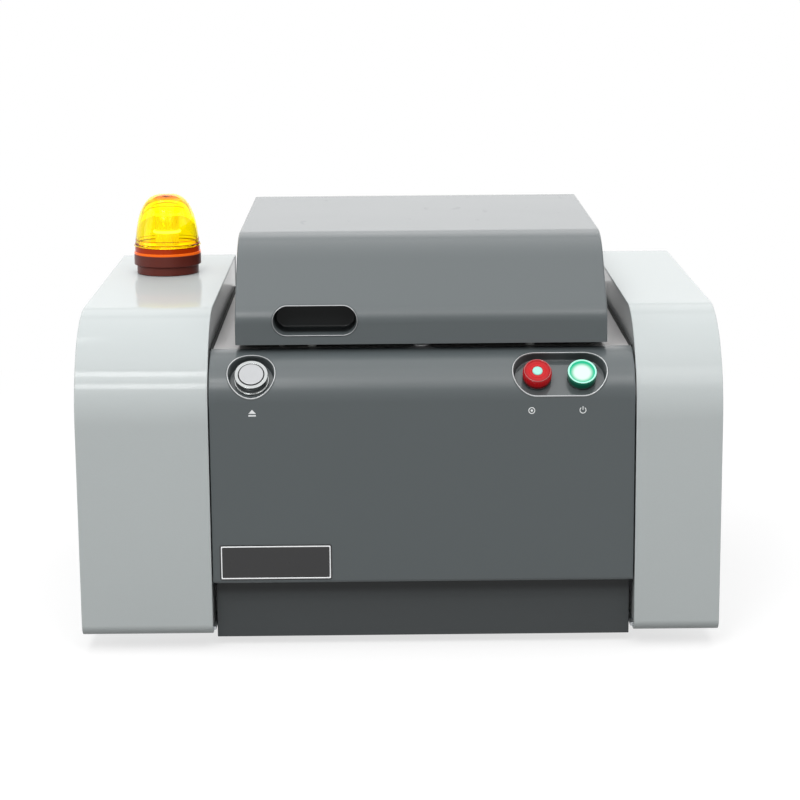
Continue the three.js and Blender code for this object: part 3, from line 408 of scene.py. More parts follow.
@dataclass(frozen=True)
class CircuitBoard(Finish):
    """Solder mask over copper tracks."""

    copper: Point3 = (0.06, 0.2, 0.09)
    solder: Point3 = (0.55, 0.52, 0.42)

    def sockets(self, graph: Graph, place: Wire) -> Inputs:
        """Returns the sockets of a circuit board."""
        lanes = graph.cells(graph.stretched(place, (1.0, 1.0, 3.0)), 130.0, "DISTANCE_TO_EDGE")
        tracks = lanes.step(0.09, 0.06)
        pads = graph.cells(place, 420.0).step(0.22, 0.17)
        tracked = graph.blend(tracks, self.colour, self.copper)
        return {"Base Color": graph.blend(pads * 0.5, tracked, self.solder),
                "Roughness": self.roughness - tracks * 0.08, "Normal": graph.bump(tracks, 0.03)}


PALE = Paint("pale_paint", Slot.PALE, (0.442, 0.475, 0.475), 0.6, coat=0.3, gleam=0.25, gloss=0.08)
# A lighter copy of the pale paint for the cheek plates: painted light for the light that falls on them
BRIGHTENED_CHEEK = Paint("cheek_paint_brightened", Slot.PALE, (0.5, 0.53, 0.53), 0.5, gloss=0.15)
DARK = Paint("dark_paint", Slot.DARK, (0.074, 0.087, 0.091), 0.55, coat=0.6, gloss=0.24)
DECK = Paint("deck_paint", Slot.DARK, (0.39, 0.38, 0.38), 0.6, coat=0.1)
# The plinth's paint carries a painted shadow near its top, under the front panel's foot
SLATE = Paint("plinth_paint", Slot.DARK, (0.047, 0.053, 0.055), 0.55, coat=0.3, overhang_shade=(45.0, 53.0))
POCKET = Paint("pocket_paint", Slot.DARK, (0.068, 0.08, 0.083), 0.45)
# The finger cup's paint carries painted shade that darkens it deeper in the slot
CUP = Paint("finger_cup_paint", Slot.DARK, (0.068, 0.08, 0.083), 0.55, coat=0.2, gleam=0.1,
            recess_shade=(-169.0, -158.0))
NAMEPLATE = Paint("nameplate_lacquer", Slot.BLACK, (0.006, 0.006, 0.007), 0.25, mottle=0.2)
MARK = Paint("mark_ink", Slot.BUFFER, (0.8, 0.82, 0.82), 0.5, coat=0.0)
BLACK = Plastic("black_moulding", Slot.BLACK, (0.012, 0.012, 0.013), 0.42)
HOLDER = Plastic("lamp_holder_moulding", Slot.BLACK, (0.02, 0.02, 0.021), 0.35)
BROWN = Plastic("beacon_base_moulding", Slot.BROWN, (0.1, 0.0165, 0.0105), 0.36, gleam=0.25)
WHITE = Plastic("white_moulding", Slot.BUFFER, (0.72, 0.72, 0.69), 0.4)
RUBY = Plastic("red_rim_plastic", Slot.RED, (0.3, 0.008, 0.01), 0.12, gleam=0.9)
STEEL = Metal("plated_steel", Slot.STEEL, (0.56, 0.57, 0.58), 0.34)
ZINC = Metal("zinc_sheet", Slot.STEEL, (0.5, 0.52, 0.54), 0.42, (1.0, 6.0, 1.0))
BRASS = Metal("brass_contacts", Slot.STEEL, (0.62, 0.48, 0.22), 0.3)
CHROME = Metal("polished_chrome", Slot.CHROME, (0.78, 0.79, 0.8), 0.13, scratch=0.02)
SATIN = Metal("satin_cap", Slot.CHROME, (0.25, 0.255, 0.26), 0.42, scratch=0.05)
COLLAR = Metal("polished_collar", Slot.CHROME, (0.275, 0.285, 0.285), 0.14, scratch=0.02)
# Metal beads round the pockets' painted lips: painted highlights on the lip edges, bright on the panel and
# dimmer in the finger slot
HIGHLIGHT_BEADING = Metal("bright_highlight_beading", Slot.CHROME, (0.45, 0.46, 0.465), 0.4)
SOFT_HIGHLIGHT_BEADING = Metal("dull_highlight_beading", Slot.CHROME, (0.22, 0.225, 0.23), 0.38)
ALUMINIUM = Metal("milled_aluminium", Slot.ALUMINIUM, (0.68, 0.69, 0.7), 0.36, (12.0, 1.0, 1.0))
LINING = Metal("anodised_lining", Slot.ALUMINIUM, (0.3, 0.305, 0.31), 0.5, (9.0, 1.0, 1.0))
# Near-black strips in the slits beside the deck and under the lid's front edge: painted shade for the dark
# gaps there
SHADE_STRIP = Rubber("slit_shade_strip_rubber", Slot.RUBBER, (0.008, 0.008, 0.008), 0.8, (0.02, 0.02, 0.02))
RUBBER = Rubber("foot_rubber", Slot.RUBBER, (0.018, 0.018, 0.018), 0.85)
GASKET = Rubber("gasket_foam", Slot.RUBBER, (0.03, 0.03, 0.031), 0.92)
BUFFER = Rubber("pale_buffer", Slot.BUFFER, (0.62, 0.64, 0.62), 0.6, (0.5, 0.5, 0.48))
BOARD = CircuitBoard("solder_mask", Slot.BOARD, (0.012, 0.075, 0.03), 0.42)
AMBER = ClearPlastic("amber_lens_plastic", Slot.AMBER, (1.0, 0.98, 0.8), 0.03, 2000.0, (1.0, 0.98, 0.0))
ORANGE = LitPlastic("amber_rim_plastic", Slot.AMBER, (0.55, 0.095, 0.006), 0.12, (0.42, 0.06, 0.004))
EMBER = LitPlastic("amber_groove_plastic", Slot.AMBER, (0.24, 0.02, 0.001), 0.2, (0.16, 0.012, 0.0))
# The reflector glows with painted lamp light: a hot spot in front of the column stands in for the light it
# reflects
REFLECTOR_PAINTED_GLOW = LitPlastic("beacon_reflector_plastic", Slot.AMBER, (0.6, 0.4, 0.05), 0.3, (0.7, 0.55, 0.1),
                   (0.8, 0.3, 0.02), centre=(BEACON_X, BEACON_Y - 20.0, 315.0), reach=34.0)
LAMP = LitPlastic("beacon_lamp_plastic", Slot.BUFFER, (0.6, 0.5, 0.3), 0.25, (0.45, 0.36, 0.1),
                  (0.4, 0.3, 0.1), (0.3, 0.22, 0.05), (BEACON_X, BEACON_Y, 338.0), 30.0)
GLOW = LitPlastic("beacon_ring_glow", Slot.BUFFER, (0.9, 0.88, 0.8), 0.2, (2.4, 2.3, 6.0), (2.2, 2.0, 5.0),
                  (1.0, 1.0, 1.0), (BEACON_X, BEACON_Y, 338.0))
RED_LIT = LitPlastic("red_lens_plastic", Slot.RED, (0.22, 0.005, 0.008), 0.08, (1.05, 0.012, 0.018),
                     (0.5, 0.0, 0.003), (0.02, 0.0, 0.0), RED_LAMP, 12.0, 0.35)
DOT = LitPlastic("clear_dot_plastic", Slot.BUFFER, (0.2, 0.42, 0.38), 0.1, (0.55, 0.9, 0.8), (0.2, 0.6, 0.5),
                 (0.05, 0.2, 0.2), RED_LAMP, 4.6, 0.4)
GREEN_LIT = LitPlastic("green_lens_plastic", Slot.GREEN, (0.004, 0.035, 0.022), 0.1, (0.95, 1.15, 1.05),
                       (0.012, 0.6, 0.31), (0.0, 0.03, 0.018), GREEN_LAMP, 10.4, 0.9)
MINT = LitPlastic("green_rim_plastic", Slot.GREEN, (0.25, 0.5, 0.42), 0.15, (0.3, 0.62, 0.5), glow=0.8)


# Outlines


def arc(centre: Point2, radius: float, start: float, end: float, steps: int) -> list[Point2]:
    """Returns points on an arc, with its angles in degrees."""
    angles = (math.radians(start + (end - start) * i / steps) for i in range(steps + 1))
    return [(centre[0] + radius * math.cos(a), centre[1] + radius * math.sin(a)) for a in angles]


def circle(centre: Point2, radius: float, sides: int) -> list[Point2]:
    """Returns a closed circle."""
    return arc(centre, radius, 0.0, 360.0, sides)[:-1]


def obround(centre: Point2, length: float, width: float, steps: int) -> list[Point2]:
    """Returns a closed outline with two straight sides and two round ends, or a circle if as long as wide."""
    if length - width < TINY:
        return circle(centre, width / 2, steps * 2)
    reach = (length - width) / 2
    right = arc((centre[0] + reach, centre[1]), width / 2, -90.0, 90.0, steps)
    return right + arc((centre[0] - reach, centre[1]), width / 2, 90.0, 270.0, steps)


def rectangle(u0: float, v0: float, u1: float, v1: float) -> list[Point2]:
    """Returns the corners of a rectangle."""
    return [(u0, v0), (u1, v0), (u1, v1), (u0, v1)]


def rounded(points: Outline, radii: Union[float, Sequence[float]], steps: int = 4) -> list[Point2]:
    """Returns a closed outline with its corners rounded.

    Args:
        points: the corners in order.
        radii: one radius, or one for each corner.
        steps: the facets of a full corner.

    Returns:
        The points of the rounded outline.
    """
    result: list[Point2] = []
    for i, corner in enumerate(points):
        radius = radii[i] if isinstance(radii, Sequence) else radii
        here = Vector(corner)
        back = Vector(points[i - 1]) - here
        ahead = Vector(points[(i + 1) % len(points)]) - here
        turn = math.pi - back.angle(ahead) if back.length and ahead.length else 0.0
        if radius <= 0.0 or turn < STRAIGHT:
            result.append(corner)
            continue
        tangent = min(radius * math.tan(turn / 2), HALF_EDGE * back.length, HALF_EDGE * ahead.length)
        start = here + back.normalized() * tangent
        end = here + ahead.normalized() * tangent
        shares = (k / steps for k in range(steps + 1))
        result.extend(tuple(start.lerp(here, t).lerp(here.lerp(end, t), t)) for t in shares)
    return result


def shifted(path: Outline, distance: float, closed: bool = True) -> list[Point2]:
    """Returns a path moved to its left by a distance, with mitred corners."""
    last = len(path) - 1
    result: list[Point2] = []
    for i, point in enumerate(path):
        here = Vector(point)
        before = here - Vector(path[i - 1]) if closed or i > 0 else None
        after = Vector(path[0 if i == last else i + 1]) - here if closed or i < last else None
        first = (before or after).normalized()
        second = (after or before).normalized()
        normal = Vector((-first.y - second.y, first.x + second.x))
        result.append(tuple(here + normal * (distance / max(SHARPEST, 1.0 + first.dot(second)))))
    return result


def bent_sheet(path: Outline, thickness: float) -> list[Point2]:
    """Returns the outline of a bent sheet, which lies to the left of its outer path."""
    return list(path) + shifted(path, thickness, closed=False)[::-1]


def turned(corners: Outline, radius: float, steps: int = 3) -> list[Point2]:
    """Returns a lathe profile with its corners rounded, apart from those on the axis."""
    return rounded(corners, [0.0 if corner[0] < TINY else radius for corner in corners], steps)


def folded(start: Point2, corner: Point2, end: Point2, radius: float) -> list[Point2]:
    """Returns a path that leaves a start and turns at a rounded corner towards an end."""
    return rounded([start, corner, end], [0.0, max(SMALLEST_BEND, radius), 0.0], 5)[:-1]


# Meshes


class Shape:
    """Points and the faces between them, gathered for one mesh."""

    def __init__(self) -> None:
        """Starts empty."""
        self.points: list[Point3] = []
        self.faces: list[tuple[int, ...]] = []

    def ring(self, points: Iterable[Point3]) -> list[int]:
        """Adds points and returns their numbers."""
        first = len(self.points)
        self.points.extend(points)
        return list(range(first, len(self.points)))

    def bridge(self, first: Sequence[int], second: Sequence[int]) -> None:
        """Joins two closed rings, where a ring of one point is a pole."""
        count = max(len(first), len(second))
        for i in range(count):
            here, there = i, (i + 1) % count
            corners = [ring[k % len(ring)] for ring, k in ((first, here), (first, there), (second, there),
                                                           (second, here))]
            face = tuple(dict.fromkeys(corners))
            if len(face) > 2:
                self.faces.append(face)

    def stack(self, rings: Sequence[Sequence[int]]) -> None:
        """Joins each ring to the next."""
        for first, second in zip(rings, rings[1:]):
            self.bridge(first, second)

    def cap(self, loops: Sequence[Sequence[int]]) -> None:
        """Closes a flat loop, leaving its holes open."""
        numbers = [i for loop in loops for i in loop]
        corners = [[Vector(self.points[i]) for i in loop] for loop in loops]
        self.faces.extend(tuple(numbers[i] for i in face) for face in tessellate_polygon(corners))

    def moved(self, matrix: Matrix) -> "Shape":
        """Moves every point by a matrix and returns the shape."""
        self.points = [tuple(matrix @ Vector(point)) for point in self.points]
        return self

    def at(self, place: Point3) -> "Shape":
        """Moves every point along and returns the shape."""
        return self.moved(Matrix.Translation(place))

    def add(self, other: "Shape") -> "Shape":
        """Takes in another shape and returns this one."""
        first = len(self.points)
        self.points.extend(other.points)
        self.faces.extend(tuple(i + first for i in face) for face in other.faces)
        return self

    def mesh(self, name: str) -> bpy.types.Mesh:
        """Returns the shape as a closed mesh in metres, with its faces outwards."""
        mesh = bpy.data.meshes.new(name)
        mesh.from_pydata([metres(point) for point in self.points], [], self.faces)
        work = bmesh.new()
        work.from_mesh(mesh)
        bmesh.ops.remove_doubles(work, verts=work.verts, dist=MERGE)
        bmesh.ops.dissolve_degenerate(work, edges=work.edges, dist=SLIVER)
        bmesh.ops.recalc_face_normals(work, faces=work.faces)
        work.to_mesh(mesh)
        work.free()
        return mesh


def prism(outline: Outline, low: float, high: float, plane: Plane, holes: Sequence[Outline] = (),
          edge: float = 0.0, lip: float = 0.0, steps: int = 3) -> Shape:
    """Returns an outline given depth, with its edges rounded.

    Args:
        outline: the outer loop, counterclockwise.
        low: where its depth starts.
        high: where its depth ends.
        plane: the plane of the outline.
        holes: inner loops, counterclockwise.
        edge: the radius of the outer edges.
        lip: the radius of the edges of the holes.
        steps: the facets of a rounded edge.

    Returns:
        The shape.
    """
    shape = Shape()
    starts, ends = [], []
    for loop, radius in [(list(outline), edge), *((list(hole)[::-1], lip) for hole in holes)]:
        angles = [math.pi / 2 * k / steps for k in range(steps + 1)] if radius > 0 else [math.pi / 2]
        levels = [(radius * (1 - math.sin(a)), low + radius * (1 - math.cos(a))) for a in angles]
        levels += [(inset, low + high - depth) for inset, depth in levels[::-1]]
        rings = [shape.ring(plane.place(p, depth) for p in shifted(loop, inset)) for inset, depth in levels]
        shape.stack(rings)
        starts.append(rings[0])
        ends.append(rings[-1])
    shape.cap(starts)
    shape.cap(ends)
    return shape


def box(low: Point3, high: Point3, edge: float = 0.4) -> Shape:
    """Returns a block with rounded edges."""
    outline = rounded(rectangle(low[0], low[1], high[0], high[1]), edge * 2, 3)
    return prism(outline, low[2], high[2], Plane.TOP, edge=edge)


def lathe(profile: Outline, sides: int = 48, origin: Point3 = (0, 0, 0), plane: Plane = Plane.TOP) -> Shape:
    """Returns a profile of radius and height turned about an axis.

    Args:
        profile: its points. It ends on the axis at both ends, or is a loop.
        sides: the facets round the axis.
        origin: where its zero is.
        plane: the plane that its circles lie in.

    Returns:
        The shape.
    """
    shape = Shape()
    rings = []
    for radius, height in profile:
        loop = circle((0.0, 0.0), radius, sides) if radius > TINY else [(0.0, 0.0)]
        rings.append(shape.ring(plane.place(point, height) for point in loop))
    shape.stack(rings)
    if profile[0][0] > TINY or profile[-1][0] > TINY:
        shape.bridge(rings[-1], rings[0])
    return shape.at(origin)


def solid_object(name: str, mesh: bpy.types.Mesh) -> bpy.types.Object:
    """Returns a mesh as an object in the scene."""
    thing = bpy.data.objects.new(name, mesh)
    bpy.context.scene.collection.objects.link(thing)
    return thing


def baked(thing: bpy.types.Object) -> bpy.types.Mesh:
    """Returns an object's mesh with its modifiers applied."""
    graph = bpy.context.evaluated_depsgraph_get()
    source = thing.evaluated_get(graph)
    return bpy.data.meshes.new_from_object(source, preserve_all_data_layers=True, depsgraph=graph)


def carved(mesh: bpy.types.Mesh, cutters: Sequence[Shape]) -> bpy.types.Mesh:
    """Returns a mesh with shapes cut out of it."""
    target = solid_object("carving", mesh)
    tools = [solid_object("cutter", cutter.mesh("cutter")) for cutter in cutters]
    for tool in tools:
        modifier = target.modifiers.new("cut", "BOOLEAN")
        modifier.operation = "DIFFERENCE"
        modifier.solver = "EXACT"
        modifier.object = tool
    result = baked(target)
    for thing in [target, *tools]:
        bpy.data.objects.remove(thing)
    return result


@dataclass(frozen=True)
class Roll:
    """A part of a surface that is truly round about an axis along X."""

    y: float
    z: float
    radius: float
    tolerance: float = 0.03
    facing_limit: float = 0.94

    def arc(self, margin: float, start: float, end: float, steps: int) -> list[Point2]:
        """Returns an arc of its outline, drawn in by a margin, with its angles in degrees."""
        return arc((self.y, self.z), self.radius - margin, start, end, steps)

    def normal(self, place: Vector, facing: Vector) -> Optional[Vector]:
        """Returns the true normal at a place, or None where the place isn't on the roll."""
        away = Vector((0.0, place.y - self.y * MM, place.z - self.z * MM))
        if abs(away.length - self.radius * MM) > self.tolerance * MM:
            return None
        away.normalize()
        return away if away.dot(facing) > self.facing_limit else None


def shade_surface(thing: bpy.types.Object, angle: float, rolls: Sequence[Roll]) -> None:
    """Smooths a piece's shading, and keeps its edges and its rolls true.

    Args:
        thing: the piece.
        angle: the angle in degrees past which an edge is sharp.
        rolls: the surfaces whose true normals are known.
    """
    thing.data.shade_smooth()
    thing.data.set_sharp_from_angle(angle=math.radians(angle))
    modifier = thing.modifiers.new("weights", "WEIGHTED_NORMAL")
    modifier.keep_sharp = True
    mesh = baked(thing)
    thing.modifiers.clear()
    thing.data = mesh
    if not rolls:
        return
    normals = [Vector(corner.vector) for corner in mesh.corner_normals]
    for face in mesh.polygons:
        for corner in face.loop_indices:
            place = mesh.vertices[mesh.loops[corner].vertex_index].co
            found = (roll.normal(place, face.normal) for roll in rolls)
            normals[corner] = next((normal for normal in found if normal), normals[corner])
    mesh.normals_split_custom_set(normals)


def make(name: str, source: Union[Shape, bpy.types.Mesh], finish: Finish, body: Body = Body.CHASSIS,
         node: str = "", angle: float = 35.0, rolls: Sequence[Roll] = ()) -> None:
    """Makes a finished piece.

    Args:
        name: the piece's name.
        source: its shape or mesh.
        finish: its finish.
        body: the body that it rides on.
        node: the node that it replaces, if it does.
        angle: the angle in degrees past which an edge stays sharp.
        rolls: its truly round surfaces.
    """
    mesh = source.mesh(name) if isinstance(source, Shape) else source
    mesh.materials.clear()
    mesh.materials.append(finish.material())
    thing = solid_object(name, mesh)
    shade_surface(thing, angle, rolls)
    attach(thing, body.value)
    if node:
        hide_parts(node)
    LOG.info("%s: %d faces on %s", name, len(thing.data.polygons), body.value)


def edged(node: str, finish: Finish, edge: float, body: Body = Body.CHASSIS, angle: float = 35.0) -> None:
    """Makes a copy of a node's solid with its edges broken, in the node's stead.

    Args:
        node: the node's name.
        finish: the piece's finish.
        edge: the width of its broken edges.
        body: the body that it rides on.
        angle: the angle in degrees past which an edge is broken.
    """
    work = bmesh.new()
    work.from_mesh(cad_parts[node].data)
    bmesh.ops.remove_doubles(work, verts=work.verts, dist=WELD)
    bmesh.ops.dissolve_limit(work, angle_limit=math.radians(1.0), verts=work.verts, edges=work.edges)
    sharp = [e for e in work.edges if len(e.link_faces) == 2 and e.calc_face_angle(0.0) > math.radians(angle)]
    bmesh.ops.bevel(work, geom=sharp, offset=edge * MM, segments=2, profile=0.5, affect="EDGES",
                    clamp_overlap=True)
    mesh = bpy.data.meshes.new(node)
    work.to_mesh(mesh)
    work.free()
    make(f"{node}_dressed", mesh, finish, body, node, angle=40.0)


# Repeats made by Geometry Nodes


class Repeat:
    """A geometry tree that repeats a shape, with its named inputs."""

    KINDS = {"Geometry": "NodeSocketGeometry", "count": "NodeSocketInt", "seed": "NodeSocketInt",
             "step": "NodeSocketVector", "centre": "NodeSocketVector", "axis": "NodeSocketVector",
             "template": "NodeSocketObject", "finish": "NodeSocketMaterial"}

    def __init__(self, name: str, *titles: str) -> None:
        """Makes a tree that takes in geometry, the named inputs and a finish."""
        self.tree = bpy.data.node_groups.new(name, "GeometryNodeTree")
        self.graph = Graph(self.tree)
        for title in ("Geometry", *titles, "finish"):
            self.tree.interface.new_socket(title, in_out="INPUT", socket_type=self.KINDS[title])
        self.tree.interface.new_socket("Geometry", in_out="OUTPUT", socket_type=self.KINDS["Geometry"])
        self.source = self.graph.node("NodeGroupInput", {}, {})

    def wire(self, title: str) -> Wire:
        """Returns an input of the tree."""
        return self.graph.out(self.source, title)

    def line(self, start: object, offset: object) -> Wire:
        """Returns as many points as the count says."""
        inputs = {"Count": self.wire("count"), "Start Location": start, "Offset": offset}
        return self.graph.made("GeometryNodeMeshLine", {"mode": "OFFSET"}, inputs)

    def close(self, instances: Inputs) -> "Repeat":
        """Puts instances on points, makes them real, gives them their material and returns the tree."""
        placed = self.graph.made("GeometryNodeInstanceOnPoints", {}, instances)
        real = self.graph.made("GeometryNodeRealizeInstances", {}, {"Geometry": placed})
        inputs = {"Geometry": real, "Material": self.wire("finish")}
        coloured = self.graph.made("GeometryNodeSetMaterial", {}, inputs)
        self.graph.node("NodeGroupOutput", {}, {"Geometry": coloured})
        return self

    def run(self, name: str, mesh: bpy.types.Mesh, finish: Finish, body: Body, **values: object) -> None:
        """Makes a piece by running the tree on a mesh.

        Args:
            name: the piece's name.
            mesh: the mesh that goes into the tree.
            finish: the finish of the piece.
            body: the body that it rides on.
            values: the tree's other inputs.
        """
        thing = solid_object(name, mesh)
        modifier = thing.modifiers.new("repeat", "NODES")
        modifier.node_group = self.tree
        for item in self.tree.interface.items_tree:
            if item.in_out == "INPUT" and item.name != "Geometry":
                modifier[item.identifier] = finish.material() if item.name == "finish" else values[item.name]
        thing.update_tag()
        result = baked(thing)
        bpy.data.objects.remove(thing)
        make(name, result, finish, body)


def row_tree() -> Repeat:
    """Returns the tree that repeats a shape along a line."""
    repeat = Repeat("row", "count", "step")
    points = repeat.line((0.0, 0.0, 0.0), repeat.wire("step"))
    return repeat.close({"Points": points, "Instance": repeat.wire("Geometry")})


def wheel_tree() -> Repeat:
    """Returns the tree that repeats a shape round an axis."""
    repeat = Repeat("wheel", "count", "centre", "axis")
    graph, centre = repeat.graph, repeat.wire("centre")
    inputs = {"Geometry": repeat.wire("Geometry"), "Translation": graph.scaled(centre, -1.0)}
    shape = graph.made("GeometryNodeTransform", {}, inputs)
    angle = graph.made("GeometryNodeInputIndex", {}, {}) * math.tau / repeat.wire("count")
    turn = graph.made("FunctionNodeAxisAngleToRotation", {}, {"Axis": repeat.wire("axis"), "Angle": angle})
    points = repeat.line(centre, (0.0, 0.0, 0.0))
    return repeat.close({"Points": points, "Instance": shape, "Rotation": turn})


def scatter_tree() -> Repeat:
    """Returns the tree that puts a template on points, facing the way that each point says."""
    repeat = Repeat("scatter", "template", "seed")
    graph = repeat.graph
    shape = graph.made("GeometryNodeObjectInfo", {"transform_space": "ORIGINAL"},
                       {"Object": repeat.wire("template")}, "Geometry")
    facing = graph.made("GeometryNodeInputNamedAttribute", {"data_type": "FLOAT_VECTOR"}, {"Name": "facing"})
    aligned = graph.made("FunctionNodeAlignRotationToVector", {"axis": "Z"}, {"Vector": facing})
    limits = {2: 0.0, 3: math.tau, "Seed": repeat.wire("seed")}
    chance = graph.made("FunctionNodeRandomValue", {"data_type": "FLOAT"}, limits, 1)
    spin = graph.made("FunctionNodeAxisAngleToRotation", {}, {"Axis": UP, "Angle": chance})
    both = graph.made("FunctionNodeRotateRotation", {"rotation_space": "LOCAL"},
                      {"Rotation": aligned, "Rotate By": spin})
    return repeat.close({"Points": repeat.wire("Geometry"), "Instance": shape, "Rotation": both})


class Patterns:
    """The three trees, and the pieces made with them."""

    def __init__(self) -> None:
        """Builds the trees."""
        self.row, self.wheel, self.scatter = row_tree(), wheel_tree(), scatter_tree()

    def along(self, name: str, shape: Shape, count: int, step: Point3, finish: Finish) -> None:
        """Makes a row of a shape, with a step between neighbours."""
        self.row.run(name, shape.mesh(name), finish, Body.CHASSIS, count=count, step=metres(step))

    def around(self, name: str, shape: Shape, count: int, centre: Point3, axis: Point3, finish: Finish,
               body: Body = Body.CHASSIS) -> None:
        """Makes a wheel of a shape, spread round an axis."""
        self.wheel.run(name, shape.mesh(name), finish, body, count=count, centre=metres(centre), axis=axis)

    def facing(self, name: str, shape: Shape, places: Sequence[Point3], way: Point3, finish: Finish,
               seed: int, body: Body = Body.CHASSIS) -> None:
        """Makes a copy of a shape at each place, with its +Z turned one way.

        Args:
            name: the piece's name.
            shape: the shape, which stands on the XY plane.
            places: where the copies stand.
            way: where their +Z points.
            finish: the finish of the piece.
            seed: the seed of their turn about their own axis.
            body: the body that they ride on.
        """
        carrier = bpy.data.meshes.new(name)
        carrier.from_pydata([metres(place) for place in places], [], [])
        for item in carrier.attributes.new("facing", "FLOAT_VECTOR", "POINT").data:
            item.vector = way
        template = solid_object("template", shape.mesh("template"))
        self.scatter.run(name, carrier, finish, body, template=template, seed=seed)
        bpy.data.objects.remove(template)


class Drive(Enum):
    """The recess in a screw's head."""

    HEX = "hex"
    CROSS = "cross"

    def outline(self, size: float) -> list[Point2]:
        """Returns the recess's outline for a head of a radius."""
        if self is Drive.HEX:
            return circle((0.0, 0.0), size * 0.48, 6)
        arm, half = size * 0.62, size * 0.13
        quarter = [(arm, -half), (arm, half), (half, half)]
        turns = ((1, 0), (0, 1), (-1, 0), (0, -1))
        return [(x * c - y * s, x * s + y * c) for c, s in turns for x, y in quarter]


def screw(radius: float, height: float, drive: Drive = Drive.CROSS) -> Shape:
    """Returns a screw's head that stands on the XY plane, with its recess."""
    shape = Shape()
    levels = [(radius * 0.9, -0.4), (radius, 0.0), (radius, height * 0.35), (radius * 0.95, height * 0.65),
              (radius * 0.84, height * 0.88), (radius * 0.7, height)]
    rings = [shape.ring((*point, z) for point in circle((0.0, 0.0), r, 18)) for r, z in levels]
    shape.stack(rings)
    recess = drive.outline(radius)[::-1]
    lip = shape.ring((*point, height) for point in recess)
    pit = shape.ring((u * 0.86, v * 0.86, height * 0.35) for u, v in recess)
    shape.cap([rings[-1], lip])
    shape.bridge(lip, pit)
    shape.cap([pit])
    shape.cap([rings[0]])
    return shape


# Sub-assemblies


@dataclass
class Assembly:
    """A part of the analyzer, built in one call."""

    patterns: Patterns

    def build(self) -> None:
        """Builds its pieces."""
        raise NotImplementedError


@dataclass
class Housings(Assembly):
    """The two side housings: rolled wrap covers, slotted side plates and cheek plates."""

    top: float = 289.0
    bottom: float = 15.0
    roll: Roll = Roll(FRONT + 88.0, 201.0, 88.0)
    foot: Roll = Roll(FRONT + 10.0, 25.0, 10.0)
    bend: float = 2.5
    front_flange: float = 40.0
    rear_flange: float = 25.0
    inset: float = 0.6
    slot_count: int = 8
    slot_pitch: float = 12.0
    slot_middle: float = 130.0
    slot_start: float = 65.3
    slot_length: float = 80.0
    slot_width: float = 4.0
    cable_height: float = BASE_TOP + 80.0
    cable_radius: float = 18.0
    screws: Outline = ((190.0, 32.0), (190.0, 160.0), (190.0, 274.0), (40.0, 274.0), (-95.0, 274.0),
                       (-190.0, 180.0), (-190.0, 100.0), (-190.0, 32.0), (0.0, 32.0))

    def build(self) -> None:
        """Builds both housings."""
        for side, outer, inner, seed in (("left", LEFT, SECTION_LEFT, 7), ("right", RIGHT, SECTION_RIGHT, 8)):
            towards = math.copysign(1.0, inner - outer)
            self.wrap(side, *sorted((outer, inner)))
            self.side_plate(side, outer, towards, seed)
            self.cheek_plate(side, inner, towards)

    def path(self, margin: float, bottom: float) -> list[Point2]:
        """Returns the outer path from the rear foot over the top to the front foot."""
        back, top = REAR - margin, self.top - margin
        rear = folded((back, bottom), (back, top), (self.roll.y, top), self.bend - margin)
        sunk = math.asin(min(1.0, (self.foot.z - bottom) / (self.foot.radius - margin)))
        under = self.foot.arc(margin, 180.0, 180.0 + math.degrees(sunk), 8)
        return rear + self.roll.arc(margin, 90.0, 180.0, 44) + under

    def wrap(self, side: str, low: float, high: float) -> None:
        """Builds a wrap cover, whose sheet turns in under the housing at both ends."""
        rear = folded((REAR - self.rear_flange, self.bottom), (REAR, self.bottom), (REAR, 60.0), self.bend)
        path = rear + self.path(0.0, self.bottom)[1:] + [(FRONT + self.front_flange, self.bottom)]
        cover = prism(bent_sheet(path, SHEET), low, high, Plane.SIDE, edge=0.75)
        make(f"{side}_wrap_cover", cover, PALE, node=f"{side}_housing_wrap", rolls=[self.roll])

    def side_plate(self, side: str, outer: float, towards: float, seed: int) -> None:
        """Builds a side plate with its cooling slots, the slats behind them, and its screws."""
        near = outer + towards * self.inset
        far = near + towards * SHEET
        slots = [obround((self.slot_middle, self.slot_start + i * self.slot_pitch), self.slot_length,
                         self.slot_width, 6) for i in range(self.slot_count)]
        outline = self.path(SHEET + GAP, BASE_TOP - 3.0)
        plate = prism(outline, *sorted((near, far)), Plane.SIDE, slots, edge=0.5, lip=0.6)
        make(f"{side}_outer_plate", plate, PALE, node=f"{side}_side_plate")
        section = [(far + towards * depth, height) for depth, height in ((6.0, -3.6), (2.0, 1.0), (0.1, 1.4))]
        reach = self.slot_length / 2 + 3.0
        start, end = self.slot_middle - reach, self.slot_middle + reach
        slat = prism(bent_sheet(section, 0.8), start, end, Plane.FRONT, steps=1)
        slat.at((0.0, 0.0, self.slot_start + 1.2))
        self.patterns.along(f"{side}_slats", slat, self.slot_count, (0.0, 0.0, self.slot_pitch), ZINC)
        places = [(near, y, z) for y, z in self.screws]
        outwards = (-towards, 0.0, 0.0)
        self.patterns.facing(f"{side}_plate_screws", screw(2.9, 0.5), places, outwards, STEEL, seed)

    def cheek_plate(self, side: str, inner: float, towards: float) -> None:
        """Builds a cheek plate with the grommet of its cable hole."""
        near = inner - towards * self.inset
        far = near - towards * SHEET
        hole = circle((0.0, self.cable_height), self.cable_radius, 32)
        outline = self.path(SHEET + GAP, BASE_TOP + GAP)
        plate = prism(outline, *sorted((near, far)), Plane.SIDE, [hole], edge=0.5, lip=0.4)
        # The cheek plate takes the lighter copy of the pale paint, which is painted light
        make(f"{side}_inner_cheek", plate, BRIGHTENED_CHEEK, node=f"{side}_cheek_plate")
        section = turned([(15.4, -2.4), (19.8, -2.4), (19.8, -1.1), (17.9, -1.1), (17.9, 1.1), (19.8, 1.1),
                          (19.8, 2.4), (15.4, 2.4)], 0.4, 2)
        place = ((near + far) / 2, 0.0, self.cable_height)
        make(f"{side}_cable_grommet", lathe(section, 32, place, Plane.SIDE), RUBBER)


